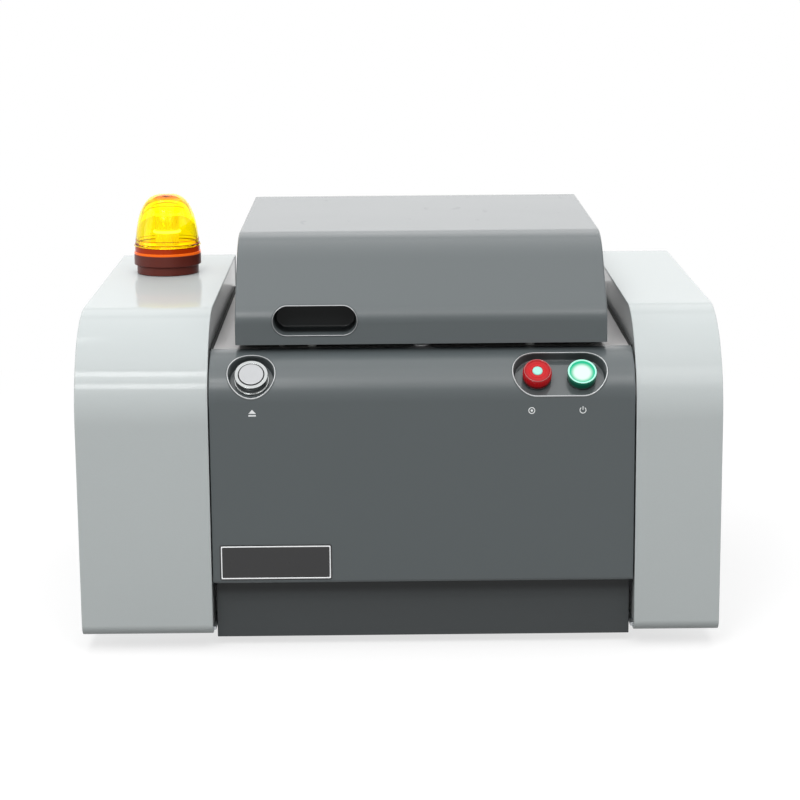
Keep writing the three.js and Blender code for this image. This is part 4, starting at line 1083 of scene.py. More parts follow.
class Base(Assembly):
    """The base plate, the plinth and the feet."""

    def build(self) -> None:
        """Builds the base."""
        edged("base_plate", ZINC, 0.4)
        edged("plinth", SLATE, 0.5)
        for column, x in (("left", -129.5), ("right", 169.0)):
            for row, y in (("front", -120.0), ("rear", 145.0)):
                self.foot(f"{row}_{column}", (x, y, 0.0))

    @staticmethod
    def foot(place: str, origin: Point3) -> None:
        """Builds a moulded foot with its screw."""
        profile = turned([(0.0, 3.0), (4.0, 3.0), (4.0, 0.0), (13.0, 0.0), (15.0, 4.2), (15.0, 7.7),
                          (0.0, 7.7)], 0.7)
        make(f"{place}_rubber_foot", lathe(profile, 36, origin), RUBBER, node=f"foot_{place}")
        head = turned([(0.0, 3.0), (0.0, 1.4), (3.5, 1.4), (3.5, 3.0)], 0.4)
        make(f"{place}_foot_screw", lathe(head, 24, origin), STEEL)


@dataclass(frozen=True)
class Pocket:
    """A pressed pocket in its own frame, whose +Z points out of it, with a bead round its lip that is a
    painted highlight.

    Its lip and its foot are sections of steps outwards and upwards, from the surface round it and its floor.
    """

    length: float
    width: float
    surface: Callable[[Point2], float]
    floor: float
    lip: Outline = ((1.3, -0.25), (1.15, 0.1), (0.85, 0.34), (0.4, 0.46), (-0.1, 0.38), (-0.55, 0.1),
                    (-0.85, -0.45), (-1.0, -1.3))
    foot: Outline = ((-1.2, 2.0), (-1.35, 1.0), (-1.75, 0.3), (-2.4, 0.0))
    wall: float = 1.5
    back: float = -1.0
    bead: float = 0.42
    bead_lift: float = 0.25

    def loop(self, offset: float) -> list[Point2]:
        """Returns its outline, moved outwards."""
        return obround((0.0, 0.0), self.length + 2 * offset, self.width + 2 * offset, 28)

    @staticmethod
    def level(shape: Shape, loop: Outline, height: float) -> list[int]:
        """Adds a loop to a shape at a height and returns its ring."""
        return shape.ring((*point, height) for point in loop)

    def draped(self, shape: Shape, offset: float, height: float) -> list[int]:
        """Adds a loop to a shape at a height over the surface and returns its ring."""
        return shape.ring((*point, self.surface(point) + height) for point in self.loop(offset))

    def sheet(self, bores: Sequence[Outline]) -> Shape:
        """Returns the pressed sheet with bores through its floor."""
        shape = Shape()
        under = self.floor - self.wall
        rings = [self.draped(shape, offset, height) for offset, height in self.lip]
        rings += [self.level(shape, self.loop(offset), self.floor + height) for offset, height in self.foot]
        outside = [self.draped(shape, 0.0, self.back), self.level(shape, self.loop(0.0), under)]
        shape.stack(rings)
        shape.stack([rings[0], *outside])
        tops, backs = [rings[-1]], [outside[-1]]
        for bore in bores:
            tops.append(self.level(shape, bore[::-1], self.floor))
            backs.append(self.level(shape, bore[::-1], under))
            shape.bridge(tops[-1], backs[-1])
        shape.cap(tops)
        shape.cap(backs)
        return shape

    def rim(self) -> Shape:
        """Returns the thin bead that runs round the lip: a painted highlight on the lip's edge."""
        shape = Shape()
        section = circle((0.0, self.bead_lift), self.bead, 8)
        rings = [self.draped(shape, offset, height) for offset, height in section]
        shape.stack([*rings, rings[0]])
        return shape

    def build(self, name: str, node: str, placing: Matrix, finishes: tuple[Finish, Finish],
              body: Body = Body.CHASSIS, bores: Sequence[Outline] = ()) -> None:
        """Makes the sheet and the bead.

        Args:
            name: the sheet's name.
            node: the node that the sheet replaces.
            placing: the pocket's frame, in millimetres.
            finishes: the sheet's finish and the bead's, whose metal is a painted highlight.
            body: the body that both ride on.
            bores: holes through the floor.
        """
        make(name, self.sheet(bores).moved(placing), finishes[0], body, node, angle=50.0)
        make(f"{name}_rim", self.rim().moved(placing), finishes[1], body)


@dataclass
class FrontPanel(Assembly):
    """The front panel, whose rolled top holds the pockets of the controls."""

    face: float = FRONT + 1.5
    roll: Roll = Roll(FRONT + 41.5, DECK_TOP - 40.0, 40.0)
    bottom: float = 61.0
    bend: float = 3.0
    side_gap: float = 1.0
    pocket_width: float = 40.6
    pocket_depth: float = 12.0
    pocket_drop: float = 4.9
    opening_gap: float = 0.4
    neck: float = 11.3
    tray_length: float = 80.4
    lamp_spacing: float = 38.1
    button_x: float = -125.1
    tray_x: float = 136.9
    ink: float = 0.12

    def frame(self, x: float) -> Matrix:
        """Returns the frame of a pocket, in millimetres, whose +Z points out of the roll at 45 degrees."""
        half, radius, drop = math.sqrt(0.5), self.roll.radius, self.pocket_drop
        origin = (x, self.roll.y - (radius + drop) * half, self.roll.z + (radius - drop) * half)
        return Matrix.Translation(origin) @ Matrix.Rotation(math.radians(45.0), 4, "X")

    def surface(self, point: Point2) -> float:
        """Returns the height of the roll in a pocket's frame."""
        return math.sqrt(self.roll.radius ** 2 - (point[1] - self.pocket_drop) ** 2) - self.roll.radius

    def build(self) -> None:
        """Builds the panel, its pockets and what is fixed to its face."""
        self.sheet()
        half = self.lamp_spacing / 2
        for name, node, x, length, bores in (
                ("button_pocket", "button_cup", self.button_x, self.pocket_width, [0.0]),
                ("lamp_pocket", "lamp_tray", self.tray_x, self.tray_length, [-half, half])):
            holes = [circle((bore, 0.0), self.neck, 32) for bore in bores]
            pocket = Pocket(length, self.pocket_width, self.surface, -self.pocket_depth)
            pocket.build(name, node, self.frame(x), (POCKET, HIGHLIGHT_BEADING), bores=holes)
        self.nameplate()
        self.marks()

    def sheet(self) -> None:
        """Builds the bent sheet and cuts the pockets' openings."""
        back = self.roll.y + SHEET
        hem = folded((back, DECK_TOP - 14.0), (back, DECK_TOP), (self.roll.y, DECK_TOP), 1.6)
        foot = arc((self.face + self.bend, self.bottom + self.bend), self.bend, 180.0, 270.0, 8)
        path = hem + self.roll.arc(0.0, 90.0, 180.0, 40) + foot + [(FRONT + 19.7, self.bottom)]
        left, right = SECTION_LEFT + self.side_gap, SECTION_RIGHT - self.side_gap
        sheet = prism(bent_sheet(path, SHEET), left, right, Plane.SIDE, edge=0.7)
        cutters = []
        for x, length in ((self.button_x, self.pocket_width), (self.tray_x, self.tray_length)):
            hole = obround((0.0, 0.0), length + self.opening_gap, self.pocket_width + self.opening_gap, 24)
            cutters.append(prism(hole, -20.0, 8.0, Plane.TOP).moved(self.frame(x)))
        mesh = carved(sheet.mesh("front_panel_sheet"), cutters)
        make("front_panel_sheet", mesh, DARK, node="front_panel", rolls=[self.roll])

    def nameplate(self) -> None:
        """Builds a blank nameplate with a thin raised border."""
        outline = rounded(rectangle(-154.6, 64.5, -58.6, 95.4), 2.0)
        plate = prism(outline, self.face - 0.7, self.face + 0.1, Plane.FRONT, edge=0.25, steps=2)
        make("nameplate", plate, NAMEPLATE)
        inner = rounded(rectangle(-152.7, 66.4, -60.5, 93.5), 1.0)
        border = prism(shifted(outline, 1.0), self.face - 0.85, self.face - 0.6, Plane.FRONT, [inner],
                       edge=0.08, lip=0.08, steps=1)
        make("nameplate_border", border, CHROME)

    def marks(self) -> None:
        """Builds plain printed marks under the controls: lift, run and power."""
        sizes = ((2.9, 28), (2.2, 28), (1.0, 16))
        ring, hole, dot = (circle((0.0, 0.0), radius, sides) for radius, sides in sizes)
        sweep = arc((0.0, 0.0), 2.9, 125.0, 415.0, 28) + arc((0.0, 0.0), 2.2, 415.0, 125.0, 28)
        triangle = [(-3.2, -0.6), (3.2, -0.6), (0.0, 2.9)]
        for name, x, first, holes, second in (
                ("lift_mark", -124.4, triangle, [], rectangle(-3.2, -2.9, 3.2, -1.7)),
                ("run_mark", 112.6, ring, [hole], dot),
                ("power_mark", 156.0, sweep, [], rectangle(-0.35, 0.2, 0.35, 3.3))):
            shape = prism(first, 0.0, self.ink, Plane.FRONT, holes)
            shape.add(prism(second, 0.0, self.ink, Plane.FRONT))
            make(name, shape.at((x, self.face - 0.09, 211.0)), MARK)


@dataclass
class Controls(Assembly):
    """The push-button and the two pilot lamps in the panel's pockets."""

    panel: FrontPanel
    radius: float = 12.4
    seat: float = -11.7

    def build(self) -> None:
        """Builds the controls."""
        red, green = (self.panel.tray_x + side * self.panel.lamp_spacing / 2 for side in (-1, 1))
        self.button(self.panel.button_x)
        self.holder("red", red)
        self.holder("green", green)
        self.red_lens(red)
        self.green_lens(green)

    def piece(self, name: str, profile: Outline, x: float, finish: Finish, node: str = "", sides: int = 56,
              body: Body = Body.CHASSIS) -> None:
        """Makes a lathed piece on a control's axis."""
        make(name, lathe(profile, sides).moved(self.panel.frame(x)), finish, body, node)

    def nut(self, name: str, x: float) -> None:
        """Builds the nut behind a control."""
        profile = turned([(11.1, -17.0), (14.6, -17.0), (14.6, -13.9), (11.1, -13.9)], 0.4, 2)
        self.piece(name, profile, x, STEEL, sides=6)

    def button(self, x: float) -> None:
        """Builds the bezel with its switch body, the moving cap and the nut."""
        body = turned([(0.0, -50.0), (10.0, -50.0), (10.0, -32.0), (11.0, -32.0), (11.0, self.seat),
                       (14.9, self.seat), (14.9, -10.3), (13.7, -10.3), (13.7, -4.3), (14.2, -3.5),
                       (14.2, -1.8), (11.3, -1.8), (11.0, -2.4), (11.0, -8.6), (5.5, -8.6), (5.5, -32.0),
                       (0.0, -32.0)], 0.45, 4)
        self.piece("button_collar", body, x, COLLAR, "button_bezel")
        cap = turned([(0.0, -28.5), (5.0, -28.5), (5.0, -5.0), (10.5, -5.0), (10.5, -1.2), (8.6, -1.2),
                      (4.0, -1.3), (0.0, -1.32)], 0.5, 4)
        self.piece("button_cap", cap, x, SATIN, "open_button_cap", body=Body.BUTTON)
        self.nut("button_nut", x)

    def holder(self, colour: str, x: float) -> None:
        """Builds a lamp's holder, with its nut behind the pocket."""
        body = turned([(0.0, -44.0), (10.0, -44.0), (10.0, -26.0), (11.0, -26.0), (11.0, self.seat),
                       (12.4, self.seat), (12.4, -10.2), (7.0, -10.2), (7.0, -7.2), (0.0, -7.2)], 0.35)
        self.piece(f"{colour}_holder", body, x, HOLDER, f"{colour}_lamp_holder", 40)
        self.nut(f"{colour}_nut", x)

    def red_lens(self, x: float) -> None:
        """Builds the red lens with its ribbed skirt, its lit core and the clear dot at its middle."""
        radius, frame_here = self.radius, self.panel.frame(x)
        profile = turned([(0.0, -6.9), (7.3, -6.9), (7.3, -9.9), (radius - 0.4, -9.9), (radius - 0.4, -1.3),
                          (radius - 1.5, 0.3), (radius - 2.1, 0.3), (radius - 2.6, -0.35), (7.6, -0.15),
                          (7.2, -0.5), (6.8, -0.1), (5.2, 0.05), (4.6, 0.1), (4.6, -1.2), (0.0, -1.2)], 0.25)
        self.piece("red_lens", profile, x, RED_LIT, "red_lamp_lens")
        rib = box((radius - 0.75, -0.5, -9.7), (radius - 0.02, 0.5, -1.9), 0.2).moved(frame_here)
        axis = tuple(frame_here.to_3x3() @ Vector(UP))
        self.patterns.around("red_lens_ribs", rib, 36, tuple(frame_here.translation), axis, RED_LIT)
        self.piece("red_lens_ring", circle((radius - 1.25, 0.0), 0.42, 12), x, RUBY)
        dot = turned([(0.0, -1.1), (4.3, -1.1), (4.3, 0.15), (0.0, 0.15)], 0.35)
        self.piece("red_lens_dot", dot, x, DOT, sides=32)

    def green_lens(self, x: float) -> None:
        """Builds the green lens with its raised rim round a lit, sunken face."""
        radius = self.radius
        profile = turned([(0.0, -6.9), (7.3, -6.9), (7.3, -9.9), (radius, -9.9), (radius, -1.8),
                          (radius - 1.5, -1.8), (radius - 2.3, -3.5), (4.0, -3.45), (0.0, -3.4)], 0.35, 4)
        self.piece("green_lens", profile, x, GREEN_LIT, "green_lamp_lens")
        self.piece("green_lens_rim", circle((radius - 0.85, -2.1), 0.75, 16), x, MINT)


@dataclass
class Lid(Assembly):
    """The lid: its folded shell, finger slot, liner, gasket and buffers."""

    left: float = -139.25
    right: float = 178.75
    front: float = -176.0
    rear: float = 179.0
    bottom: float = 264.5
    top: float = 350.3
    bend: float = 2.6
    crown: Roll = Roll(-85.0, 280.3, 70.0)
    nose: Roll = Roll(-156.0, 282.46, 20.0)
    slope: float = 43.0
    slot_centre: Point2 = (-71.05, 284.8)
    slot_length: float = 72.4
    slot_width: float = 24.9
    slot_floor: float = -147.5

    def build(self) -> None:
        """Builds the lid."""
        self.shell()
        self.finger_slot()
        edged("lid_liner", LINING, 0.4, Body.LID)
        edged("lid_gasket", GASKET, 0.9, Body.LID)
        edged("lock_armature", STEEL, 0.4, Body.LID)
        for side in ("left", "right"):
            edged(f"lid_bumper_{side}", BUFFER, 0.5, Body.LID)

    def edge(self, margin: float, bottom: float) -> list[Point2]:
        """Returns the lid's outline from the side, drawn in by a margin."""
        back, top, turn = self.rear - margin, self.top - margin, 90.0 + self.slope
        rear = folded((back, bottom), (back, top), (self.crown.y, top), self.bend - margin)
        rolled = self.crown.arc(margin, 90.0, turn, 30) + self.nose.arc(margin, turn, 180.0, 20)
        return rear + rolled + [(self.front + margin, bottom)]

    def surface(self, point: Point2) -> float:
        """Returns how far forward the lid's face is at a point seen from the front."""
        rise = max(0.0, point[1] + self.slot_centre[1] - self.nose.z)
        limit = math.radians(90.0 - self.slope)
        lift = min(rise, self.nose.radius * math.sin(limit))
        return math.sqrt(self.nose.radius ** 2 - lift ** 2) - self.nose.y - (rise - lift) * math.tan(limit)

    def shell(self) -> None:
        """Builds the folded shell with its slot cut through, its front flange and a black strip behind its
        front edge, which is painted shade for the dark gap there.
        """
        left, right, front, bottom = self.left, self.right, self.front, self.bottom
        outer = prism(self.edge(0.0, bottom - 5.0), left, right, Plane.SIDE, edge=1.6, steps=5)
        inner = prism(self.edge(SHEET, bottom - 9.0), left + SHEET, right - SHEET, Plane.SIDE, edge=0.6)
        opening = obround(self.slot_centre, self.slot_length, self.slot_width, 24)
        hole = prism(opening, -190.0, -140.0, Plane.FRONT)
        below = box((left - 9.0, front - 9.0, bottom - 20.0), (right + 9.0, self.rear + 9.0, bottom), 0.5)
        mesh = carved(outer.mesh("lid_cover"), [inner, hole, below])
        make("lid_cover", mesh, DARK, Body.LID, "lid_shell", rolls=[self.crown, self.nose])
        flange = box((left + 2.2, front + 2.2, bottom), (right - 2.2, front + 10.0, bottom + SHEET), 0.5)
        make("lid_front_flange", flange, DARK, Body.LID)
        # A black strip under the lid's front edge that hides the bright deck behind: painted shade for the gap
        strip = box((left + 6.0, -151.5, 259.8), (right - 6.0, -148.0, 266.7), 0.6)
        make("lid_front_seal", strip, SHADE_STRIP, Body.LID)

    def finger_slot(self) -> None:
        """Builds the cup of the finger slot, whose lip follows the lid's curve."""
        lip = ((1.2, -0.25), (1.0, 0.1), (0.65, 0.26), (0.2, 0.3), (-0.25, 0.12), (-0.5, -0.4), (-0.6, -1.2))
        foot = ((-1.2, 4.0), (-1.6, 1.6), (-2.6, 0.4), (-4.0, 0.0))
        pocket = Pocket(self.slot_length, self.slot_width, self.surface, -self.slot_floor, lip, foot)
        u, v = self.slot_centre
        facing_front = Matrix(((1, 0, 0, u), (0, 0, -1, 0), (0, 1, 0, v), (0, 0, 0, 1)))
        pocket.build("finger_slot", "handle_cup", facing_front, (CUP, SOFT_HIGHLIGHT_BEADING), Body.LID)


@dataclass
class Chamber(Assembly):
    """The deck, the sample chamber under the lid, the lock and the interlock."""

    window: Point2 = (19.75, 5.0)

    def build(self) -> None:
        """Builds the deck and the chamber, and the screws that hold its flange."""
        edged("deck", DECK, 0.5)
        for side, low in (("left", SECTION_LEFT - 0.5), ("right", SECTION_RIGHT - 2.7)):
            edged(f"deck_rail_{side}", ZINC, 0.4)
            # A black strip down each slit beside the deck: painted shade for the dark gap
            strip = box((low, -159.5, 256.8), (low + 3.2, 192.0, 258.5), 0.5)
            make(f"{side}_slit_seal", strip, SHADE_STRIP)
        edged("chamber_tub", LINING, 0.6)
        edged("lock_magnet", STEEL, 0.5)
        edged("interlock_plunger", WHITE, 0.5, Body.PLUNGER)
        edged("interlock_switch", BLACK, 0.5)
        self.window_ring()
        places = [(x, y, 260.8) for y in (-136.6, 146.6) for x in (-100.0, -20.0, 60.0, 140.0)]
        self.patterns.facing("flange_screws", screw(2.4, 0.4), places, UP, STEEL, 4)

    def window_ring(self) -> None:
        """Builds the ring that holds the measuring window, and its screws."""
        ring = turned([(14.0, 214.3), (21.7, 214.3), (21.7, 216.3), (30.0, 216.3), (30.0, 219.3),
                       (16.6, 219.3), (14.0, 217.6)], 0.35)
        make("window_holder", lathe(ring, 64, (*self.window, 0.0)), STEEL, node="window_ring")
        places = [(*point, 219.3) for point in circle(self.window, 25.0, 6)]
        self.patterns.facing("window_screws", screw(1.9, 1.0, Drive.HEX), places, UP, STEEL, 3)


class Hinges(Assembly):
    """The two hinges behind the lid."""

    def build(self) -> None:
        """Builds both hinges with the screws of their arms."""
        for side, x in (("left", -84.25), ("right", 123.75)):
            edged(f"hinge_bracket_{side}", STEEL, 0.6)
            edged(f"hinge_arm_{side}", STEEL, 0.6, Body.LID)
            edged(f"hinge_pin_{side}", CHROME, 0.4)
            places = [(x + shift, 182.3, z) for shift in (-9.0, 9.0) for z in (284.0, 294.0)]
            self.patterns.facing(f"{side}_arm_screws", screw(2.3, 1.2), places, REARWARD, STEEL, 11, Body.LID)


@dataclass
class Rear(Assembly):
    """The rear panel with its vents, fan and mains inlet."""

    face: float = 195.0
    fan: Point2 = (120.5, 165.0)
    fan_bore: float = 38.5
    fan_screw: float = 35.75
    wire: float = 1.1
    inlet: Point2 = (-112.0, 66.0)
    inlet_half: Point2 = (13.8, 28.3)
    vent_x: float = -87.0
    vent_top: float = 222.0
    vent_pitch: float = 9.0
    vent_count: int = 9

    def build(self) -> None:
        """Builds the rear."""
        self.panel()
        edged("fan_frame", BLACK, 0.5)
        self.rotor()
        self.guard()
        edged("mains_inlet", BLACK, 0.35)
        edged("fuse_drawer", BLACK, 0.4, Body.DRAWER)
        edged("mains_rocker", BLACK, 0.4, Body.ROCKER, 20.0)
        self.inlet_fittings()

    def panel(self) -> None:
        """Builds the panel with its openings, slats and screws."""
        (x, z), (across, above) = self.inlet, self.inlet_half
        left, right = SECTION_LEFT + 1.4, SECTION_RIGHT - 1.4
        holes = [circle(self.fan, self.fan_bore, 56), rectangle(x - across, z - above, x + across, z + above)]
        holes += [obround((self.vent_x, self.vent_top - i * self.vent_pitch), 70.0, 4.0, 6)
                  for i in range(self.vent_count)]
        outline = rounded(rectangle(left, BASE_TOP + GAP, right, 256.7), 1.5)
        plate = prism(outline, self.face - SHEET, self.face, Plane.FRONT, holes, edge=0.4, lip=0.4)
        make("rear_plate", plate, DARK, node="rear_panel")
        section = bent_sheet([(self.face - 7.0, -3.0), (self.face - 4.0, 1.2), (self.face - 2.1, 1.5)], 0.8)
        slat = prism(section, self.vent_x - 37.0, self.vent_x + 37.0, Plane.SIDE, steps=1)
        self.patterns.along("rear_slats", slat.at((0.0, 0.0, self.vent_top + 1.0)), self.vent_count,
                            (0.0, 0.0, -self.vent_pitch), ZINC)
        edge_heights, middle_heights = (30.0, 138.0, 247.0), (30.0, 247.0)
        columns = ((left + 7.0, edge_heights), (20.0, middle_heights), (right - 7.0, edge_heights))
        places = [(column, self.face, height) for column, heights in columns for height in heights]
        self.patterns.facing("rear_screws", screw(2.9, 1.5), places, REARWARD, STEEL, 5)

    def rotor(self) -> None:
        """Builds the rotor: a hub and seven twisted blades."""
        middle = (self.fan[0], 0.0, self.fan[1])
        hub = turned([(2.9, 171.2), (14.0, 171.2), (14.0, 189.2), (0.0, 189.2), (0.0, 181.5), (2.9, 181.5)],
                     1.0, 4)
        make("rotor_hub", lathe(hub, 40, middle, Plane.FRONT), BLACK, Body.ROTOR, "fan_rotor")
        blade = Shape()
        rings = [blade.ring(self.blade_section(k / 8)) for k in range(9)]
        blade.stack(rings)
        blade.cap([rings[0]])
        blade.cap([rings[-1]])
        self.patterns.around("rotor_blades", blade, 7, middle, REARWARD, BLACK, Body.ROTOR)

    def blade_section(self, share: float) -> list[Point3]:
        """Returns a blade's section at a share of its length from the hub."""
        x, z = self.fan
        radius = 13.6 + share * 22.9
        pitch = math.radians(58.0 - 20.0 * share)
        chord = 14.0 + 3.0 * share
        section = []
        for along, lift in ((-0.5, 0.0), (-0.25, 1.1), (0.1, 1.5), (0.5, 0.35), (0.1, 0.5), (-0.25, 0.2)):
            across = along * chord * math.cos(pitch) - lift * math.sin(pitch)
            deep = along * chord * math.sin(pitch) + lift * math.cos(pitch)
            angle = across / radius
            section.append((x + radius * math.cos(angle), 180.2 + deep, z + radius * math.sin(angle)))
        return section

    def guard(self) -> None:
        """Builds the wire guard: rings, spokes, eyes and screws."""
        (x, z), wire = self.fan, self.wire
        middle, depth = (x, 0.0, z), self.face + 1.5
        guard = Shape()
        for radius in (8.0, 16.0, 24.0, 32.0):
            guard.add(lathe(circle((radius, depth), wire, 10), 56, middle, Plane.FRONT))
        boss = [(0.0, depth - wire), (5.0, depth - wire), (5.0, depth + wire), (0.0, depth + wire)]
        guard.add(lathe(boss, 24, middle, Plane.FRONT))
        make("guard_rings", guard, CHROME, node="fan_guard")
        reach = self.fan_screw * math.sqrt(2.0)
        spoke = [(0.0, 3.0), (1.0, 3.0), (1.0, reach - 2.3), (0.0, reach - 2.3)]
        wires = lathe(spoke, 10, (x, depth, z), Plane.SIDE)
        wires.add(lathe(circle((3.3, depth), wire, 10), 20, (x + reach, 0.0, z), Plane.FRONT))
        tilt = Matrix.Translation(middle) @ Matrix.Rotation(math.radians(45.0), 4, "Y")
        wires.moved(tilt @ Matrix.Translation((-x, 0.0, -z)))
        self.patterns.around("guard_spokes", wires, 4, middle, REARWARD, CHROME)
        shifts = (-self.fan_screw, self.fan_screw)
        places = [(x + u, self.face + 2.4, z + v) for u in shifts for v in shifts]
        self.patterns.facing("guard_screws", screw(3.2, 1.9), places, REARWARD, STEEL, 6)

    def inlet_fittings(self) -> None:
        """Builds the inlet's screws and its three plated blades."""
        x, z = self.inlet
        places = [(x + shift, self.face + 2.8, z - 27.2) for shift in (-12.8, 12.8)]
        self.patterns.facing("inlet_screws", screw(1.6, 0.5), places, REARWARD, STEEL, 9)
        blades = Shape()
        for shift, lift in ((-7.0, 0.0), (0.0, 4.0), (7.0, 0.0)):
            blades.add(box((x + shift - 1.1, self.face - 13.2, z - 15.1 + lift),
                           (x + shift + 1.1, self.face - 0.05, z - 10.9 + lift), 0.3))
        make("inlet_blades", blades, BRASS)


@dataclass
class Insides(Assembly):
    """The x-ray optics, the supplies and the main board."""

    supply_low: Point3 = (-130.0, 60.0, 20.6)
    supply_high: Point3 = (20.0, 150.0, 100.6)
    power_low: Point3 = (-263.0, 0.0, 20.6)
    power_high: Point3 = (-179.0, 170.0, 75.6)
    board_face: float = 205.9

    def build(self) -> None:
        """Builds the insides."""
        edged("optics_block", ALUMINIUM, 0.8)
        edged("xray_tube", ZINC, 0.8)
        edged("detector", STEEL, 0.6)
        edged("filter_wheel", ALUMINIUM, 0.4, Body.WHEEL)
        edged("wheel_motor", BLACK, 0.5)
        self.high_voltage()
        self.power()
        edged("main_board", BOARD, 0.15)
        self.chips()

    def high_voltage(self) -> None:
        """Builds the potted high voltage supply with its cooling ribs and its cable socket."""
        (left, front, bottom), (right, rear, top) = self.supply_low, self.supply_high
        body = box((left, front, bottom), (right, rear, top - 4.0), 1.6)
        make("high_voltage_box", body, ZINC, node="hv_supply")
        rib = box((left + 5.0, front + 4.0, top - 4.6), (left + 7.4, rear - 30.0, top), 0.5)
        self.patterns.along("high_voltage_ribs", rib, 23, (6.2, 0.0, 0.0), ALUMINIUM)
        socket = turned([(0.0, -5.0), (9.0, -5.0), (9.0, -2.0), (6.5, -2.0), (6.5, 4.0), (4.0, 4.0),
                         (4.0, -1.0), (0.0, -1.0)], 0.4)
        make("high_voltage_socket", lathe(socket, 28, (left + 20.0, rear - 14.0, top)), BLACK)

    def power(self) -> None:
        """Builds the power supply with its perforated lid and terminals."""
        (left, front, bottom), (right, rear, top) = self.power_low, self.power_high
        body = box((left, front, bottom), (right, rear, top - 1.0), 1.0)
        make("power_box", body, ZINC, node="power_supply")
        places = [(left + 10.0 + 7.0 * i, front + 34.0 + 7.0 * j + 3.5 * (i % 2), top - 1.0)
                  for i in range(10) for j in range(18)]
        dimple = lathe([(0.0, 0.6), (1.4, 0.6), (1.9, 0.85), (2.4, 0.7), (2.5, 0.0), (0.0, 0.0)], 12)
        self.patterns.facing("power_perforations", dimple, places, UP, ZINC, 21)
        terminal = box((left + 8.0, front + 4.0, top - 1.5), (left + 16.6, front + 17.0, top + 7.5), 0.5)
        self.patterns.along("power_terminals", terminal, 7, (9.0, 0.0, 0.0), BLACK)
        spots = [(left + 12.3 + 9.0 * i, front + 10.5, top + 7.5) for i in range(7)]
        self.patterns.facing("power_terminal_screws", screw(2.6, 1.0), spots, UP, STEEL, 22)

    def chips(self) -> None:
        """Builds the chips on the main board, with their soldered legs."""
        chip = box((-6.0, -4.0, 0.0), (6.0, 4.0, 1.6), 0.3)
        for low, high in ((-5.6, -4.0), (4.0, 5.6)):
            for i in range(7):
                along = -5.1 + i * 1.7
                chip.add(box((along - 0.35, low, 0.1), (along + 0.35, high, 0.5), 0.1))
        spots = ((-98.0, 196.0), (-62.0, 84.0), (-20.0, 204.0), (14.0, 74.0), (52.0, 206.0), (96.0, 84.0))
        places = [(self.board_face, y, z) for y, z in spots]
        self.patterns.facing("board_chips", chip, places, (1.0, 0.0, 0.0), BLACK, 31)


@dataclass
class Beacon(Assembly):
    """The signal beacon on the left housing: its base, its amber lens and the lamp inside."""

    origin: Point3 = (BEACON_X, BEACON_Y, 289.3)
    foot: float = 29.4
    ring: float = 31.9
    skirt: float = 28.6
    dome_radius: float = 30.4
    dome_start: float = 30.7
    dome_height: float = 45.0
    dome_taper: float = 0.17
    dome_crowding: float = 1.35
    wall: float = 1.8
    crown_wall: float = 6.5
    steps: int = 26

    def placed(self, profile: Outline, sides: int = 96) -> Shape:
        """Returns a lathed shape on the beacon's axis."""
        return lathe(profile, sides, self.origin)

    def build(self) -> None:
        """Builds the beacon."""
        foot, ring = self.foot, self.ring
        profile = turned([(0.0, 0.0), (foot, 0.0), (foot, 7.3), (ring, 8.7), (ring, 18.4), (28.3, 18.4),
                          (28.3, 20.3), (26.3, 20.3), (26.3, 3.0), (0.0, 3.0)], 0.5)
        make("beacon_foot", self.placed(profile), BROWN, node="beacon_base")
        self.lens()
        self.lamp()

    def dome(self, radius: float, height: float) -> list[Point2]:
        """Returns the profile of a dome, from its foot to its crown, with its points crowded to the crown."""
        points = []
        for i in range(self.steps + 1):
            turn = 1 - (1 - i / self.steps) ** self.dome_crowding
            share = math.sin(math.pi / 2 * turn) ** (2 / 3)
            narrowing = (1 - self.dome_taper * share) * max(0.0, 1 - share ** 3) ** (1 / 3)
            points.append((radius * narrowing, self.dome_start + height * share))
        return points[:-1] + [(0.0, self.dome_start + height)]

    def lens(self) -> None:
        """Builds the closed shell of the lens: its banded skirt, its dome and its thicker crown."""
        ring, skirt = self.ring, self.skirt
        band = [(ring - 0.8, 26.1), (ring - 0.1, 26.5), (ring, 27.2), (ring - 0.3, 28.0), (ring - 1.1, 28.5),
                (ring - 1.2, 29.6)]
        outer = self.dome(self.dome_radius, self.dome_height)
        inner = self.dome(self.dome_radius - self.wall, self.dome_height - self.crown_wall)
        profile = band + outer + inner[::-1] + [(skirt, 26.1)]
        make("beacon_dome", self.placed(profile), AMBER, node="beacon_lens", angle=25.0)
        rim = turned([(skirt, 18.5), (ring, 18.5), (ring, 20.9), (skirt, 20.9)], 0.5)
        make("beacon_rim", self.placed(rim), ORANGE, node="beacon_lens")
        groove = turned([(skirt, 20.95), (ring - 0.9, 20.95), (ring - 0.9, 26.0), (skirt, 26.0)], 0.2)
        make("beacon_groove", self.placed(groove), EMBER, node="beacon_lens")
        seams = self.placed(circle((ring - 0.95, 28.7), 0.26, 10))
        seams.add(self.placed(circle((self.dome_radius - 0.1, 32.3), 0.26, 10)))
        make("beacon_seams", seams, EMBER)

    def lamp(self) -> None:
        """Builds the lamp: its socket plate, ribbed column, two bright rings and cap."""
        column = turned([(0.0, 3.3), (25.8, 3.3), (25.8, 6.3), (14.0, 6.3), (13.0, 9.0), (10.6, 11.0),
                         (10.6, 57.6), (8.0, 60.4), (0.0, 61.4)], 0.6)
        make("beacon_column", self.placed(column, 48), LAMP, node="beacon_tower")
        rib = box((10.4, -0.45, 12.0), (11.3, 0.45, 57.0), 0.15).at(self.origin)
        self.patterns.around("beacon_column_ribs", rib, 24, self.origin, UP, LAMP)
        # The reflector's glow is painted light from the lamp, not a lamp of its own
        reflector = turned([(11.4, 25.0), (27.6, 26.2), (27.6, 27.0), (11.4, 25.8)], 0.2)
        make("beacon_reflector", self.placed(reflector, 64), REFLECTOR_PAINTED_GLOW)
        rings = self.placed(circle((12.0, 39.8), 1.2, 12), 48)
        rings.add(self.placed(circle((12.0, 57.2), 1.2, 12), 48))
        make("beacon_rings", rings, GLOW)


# Studio


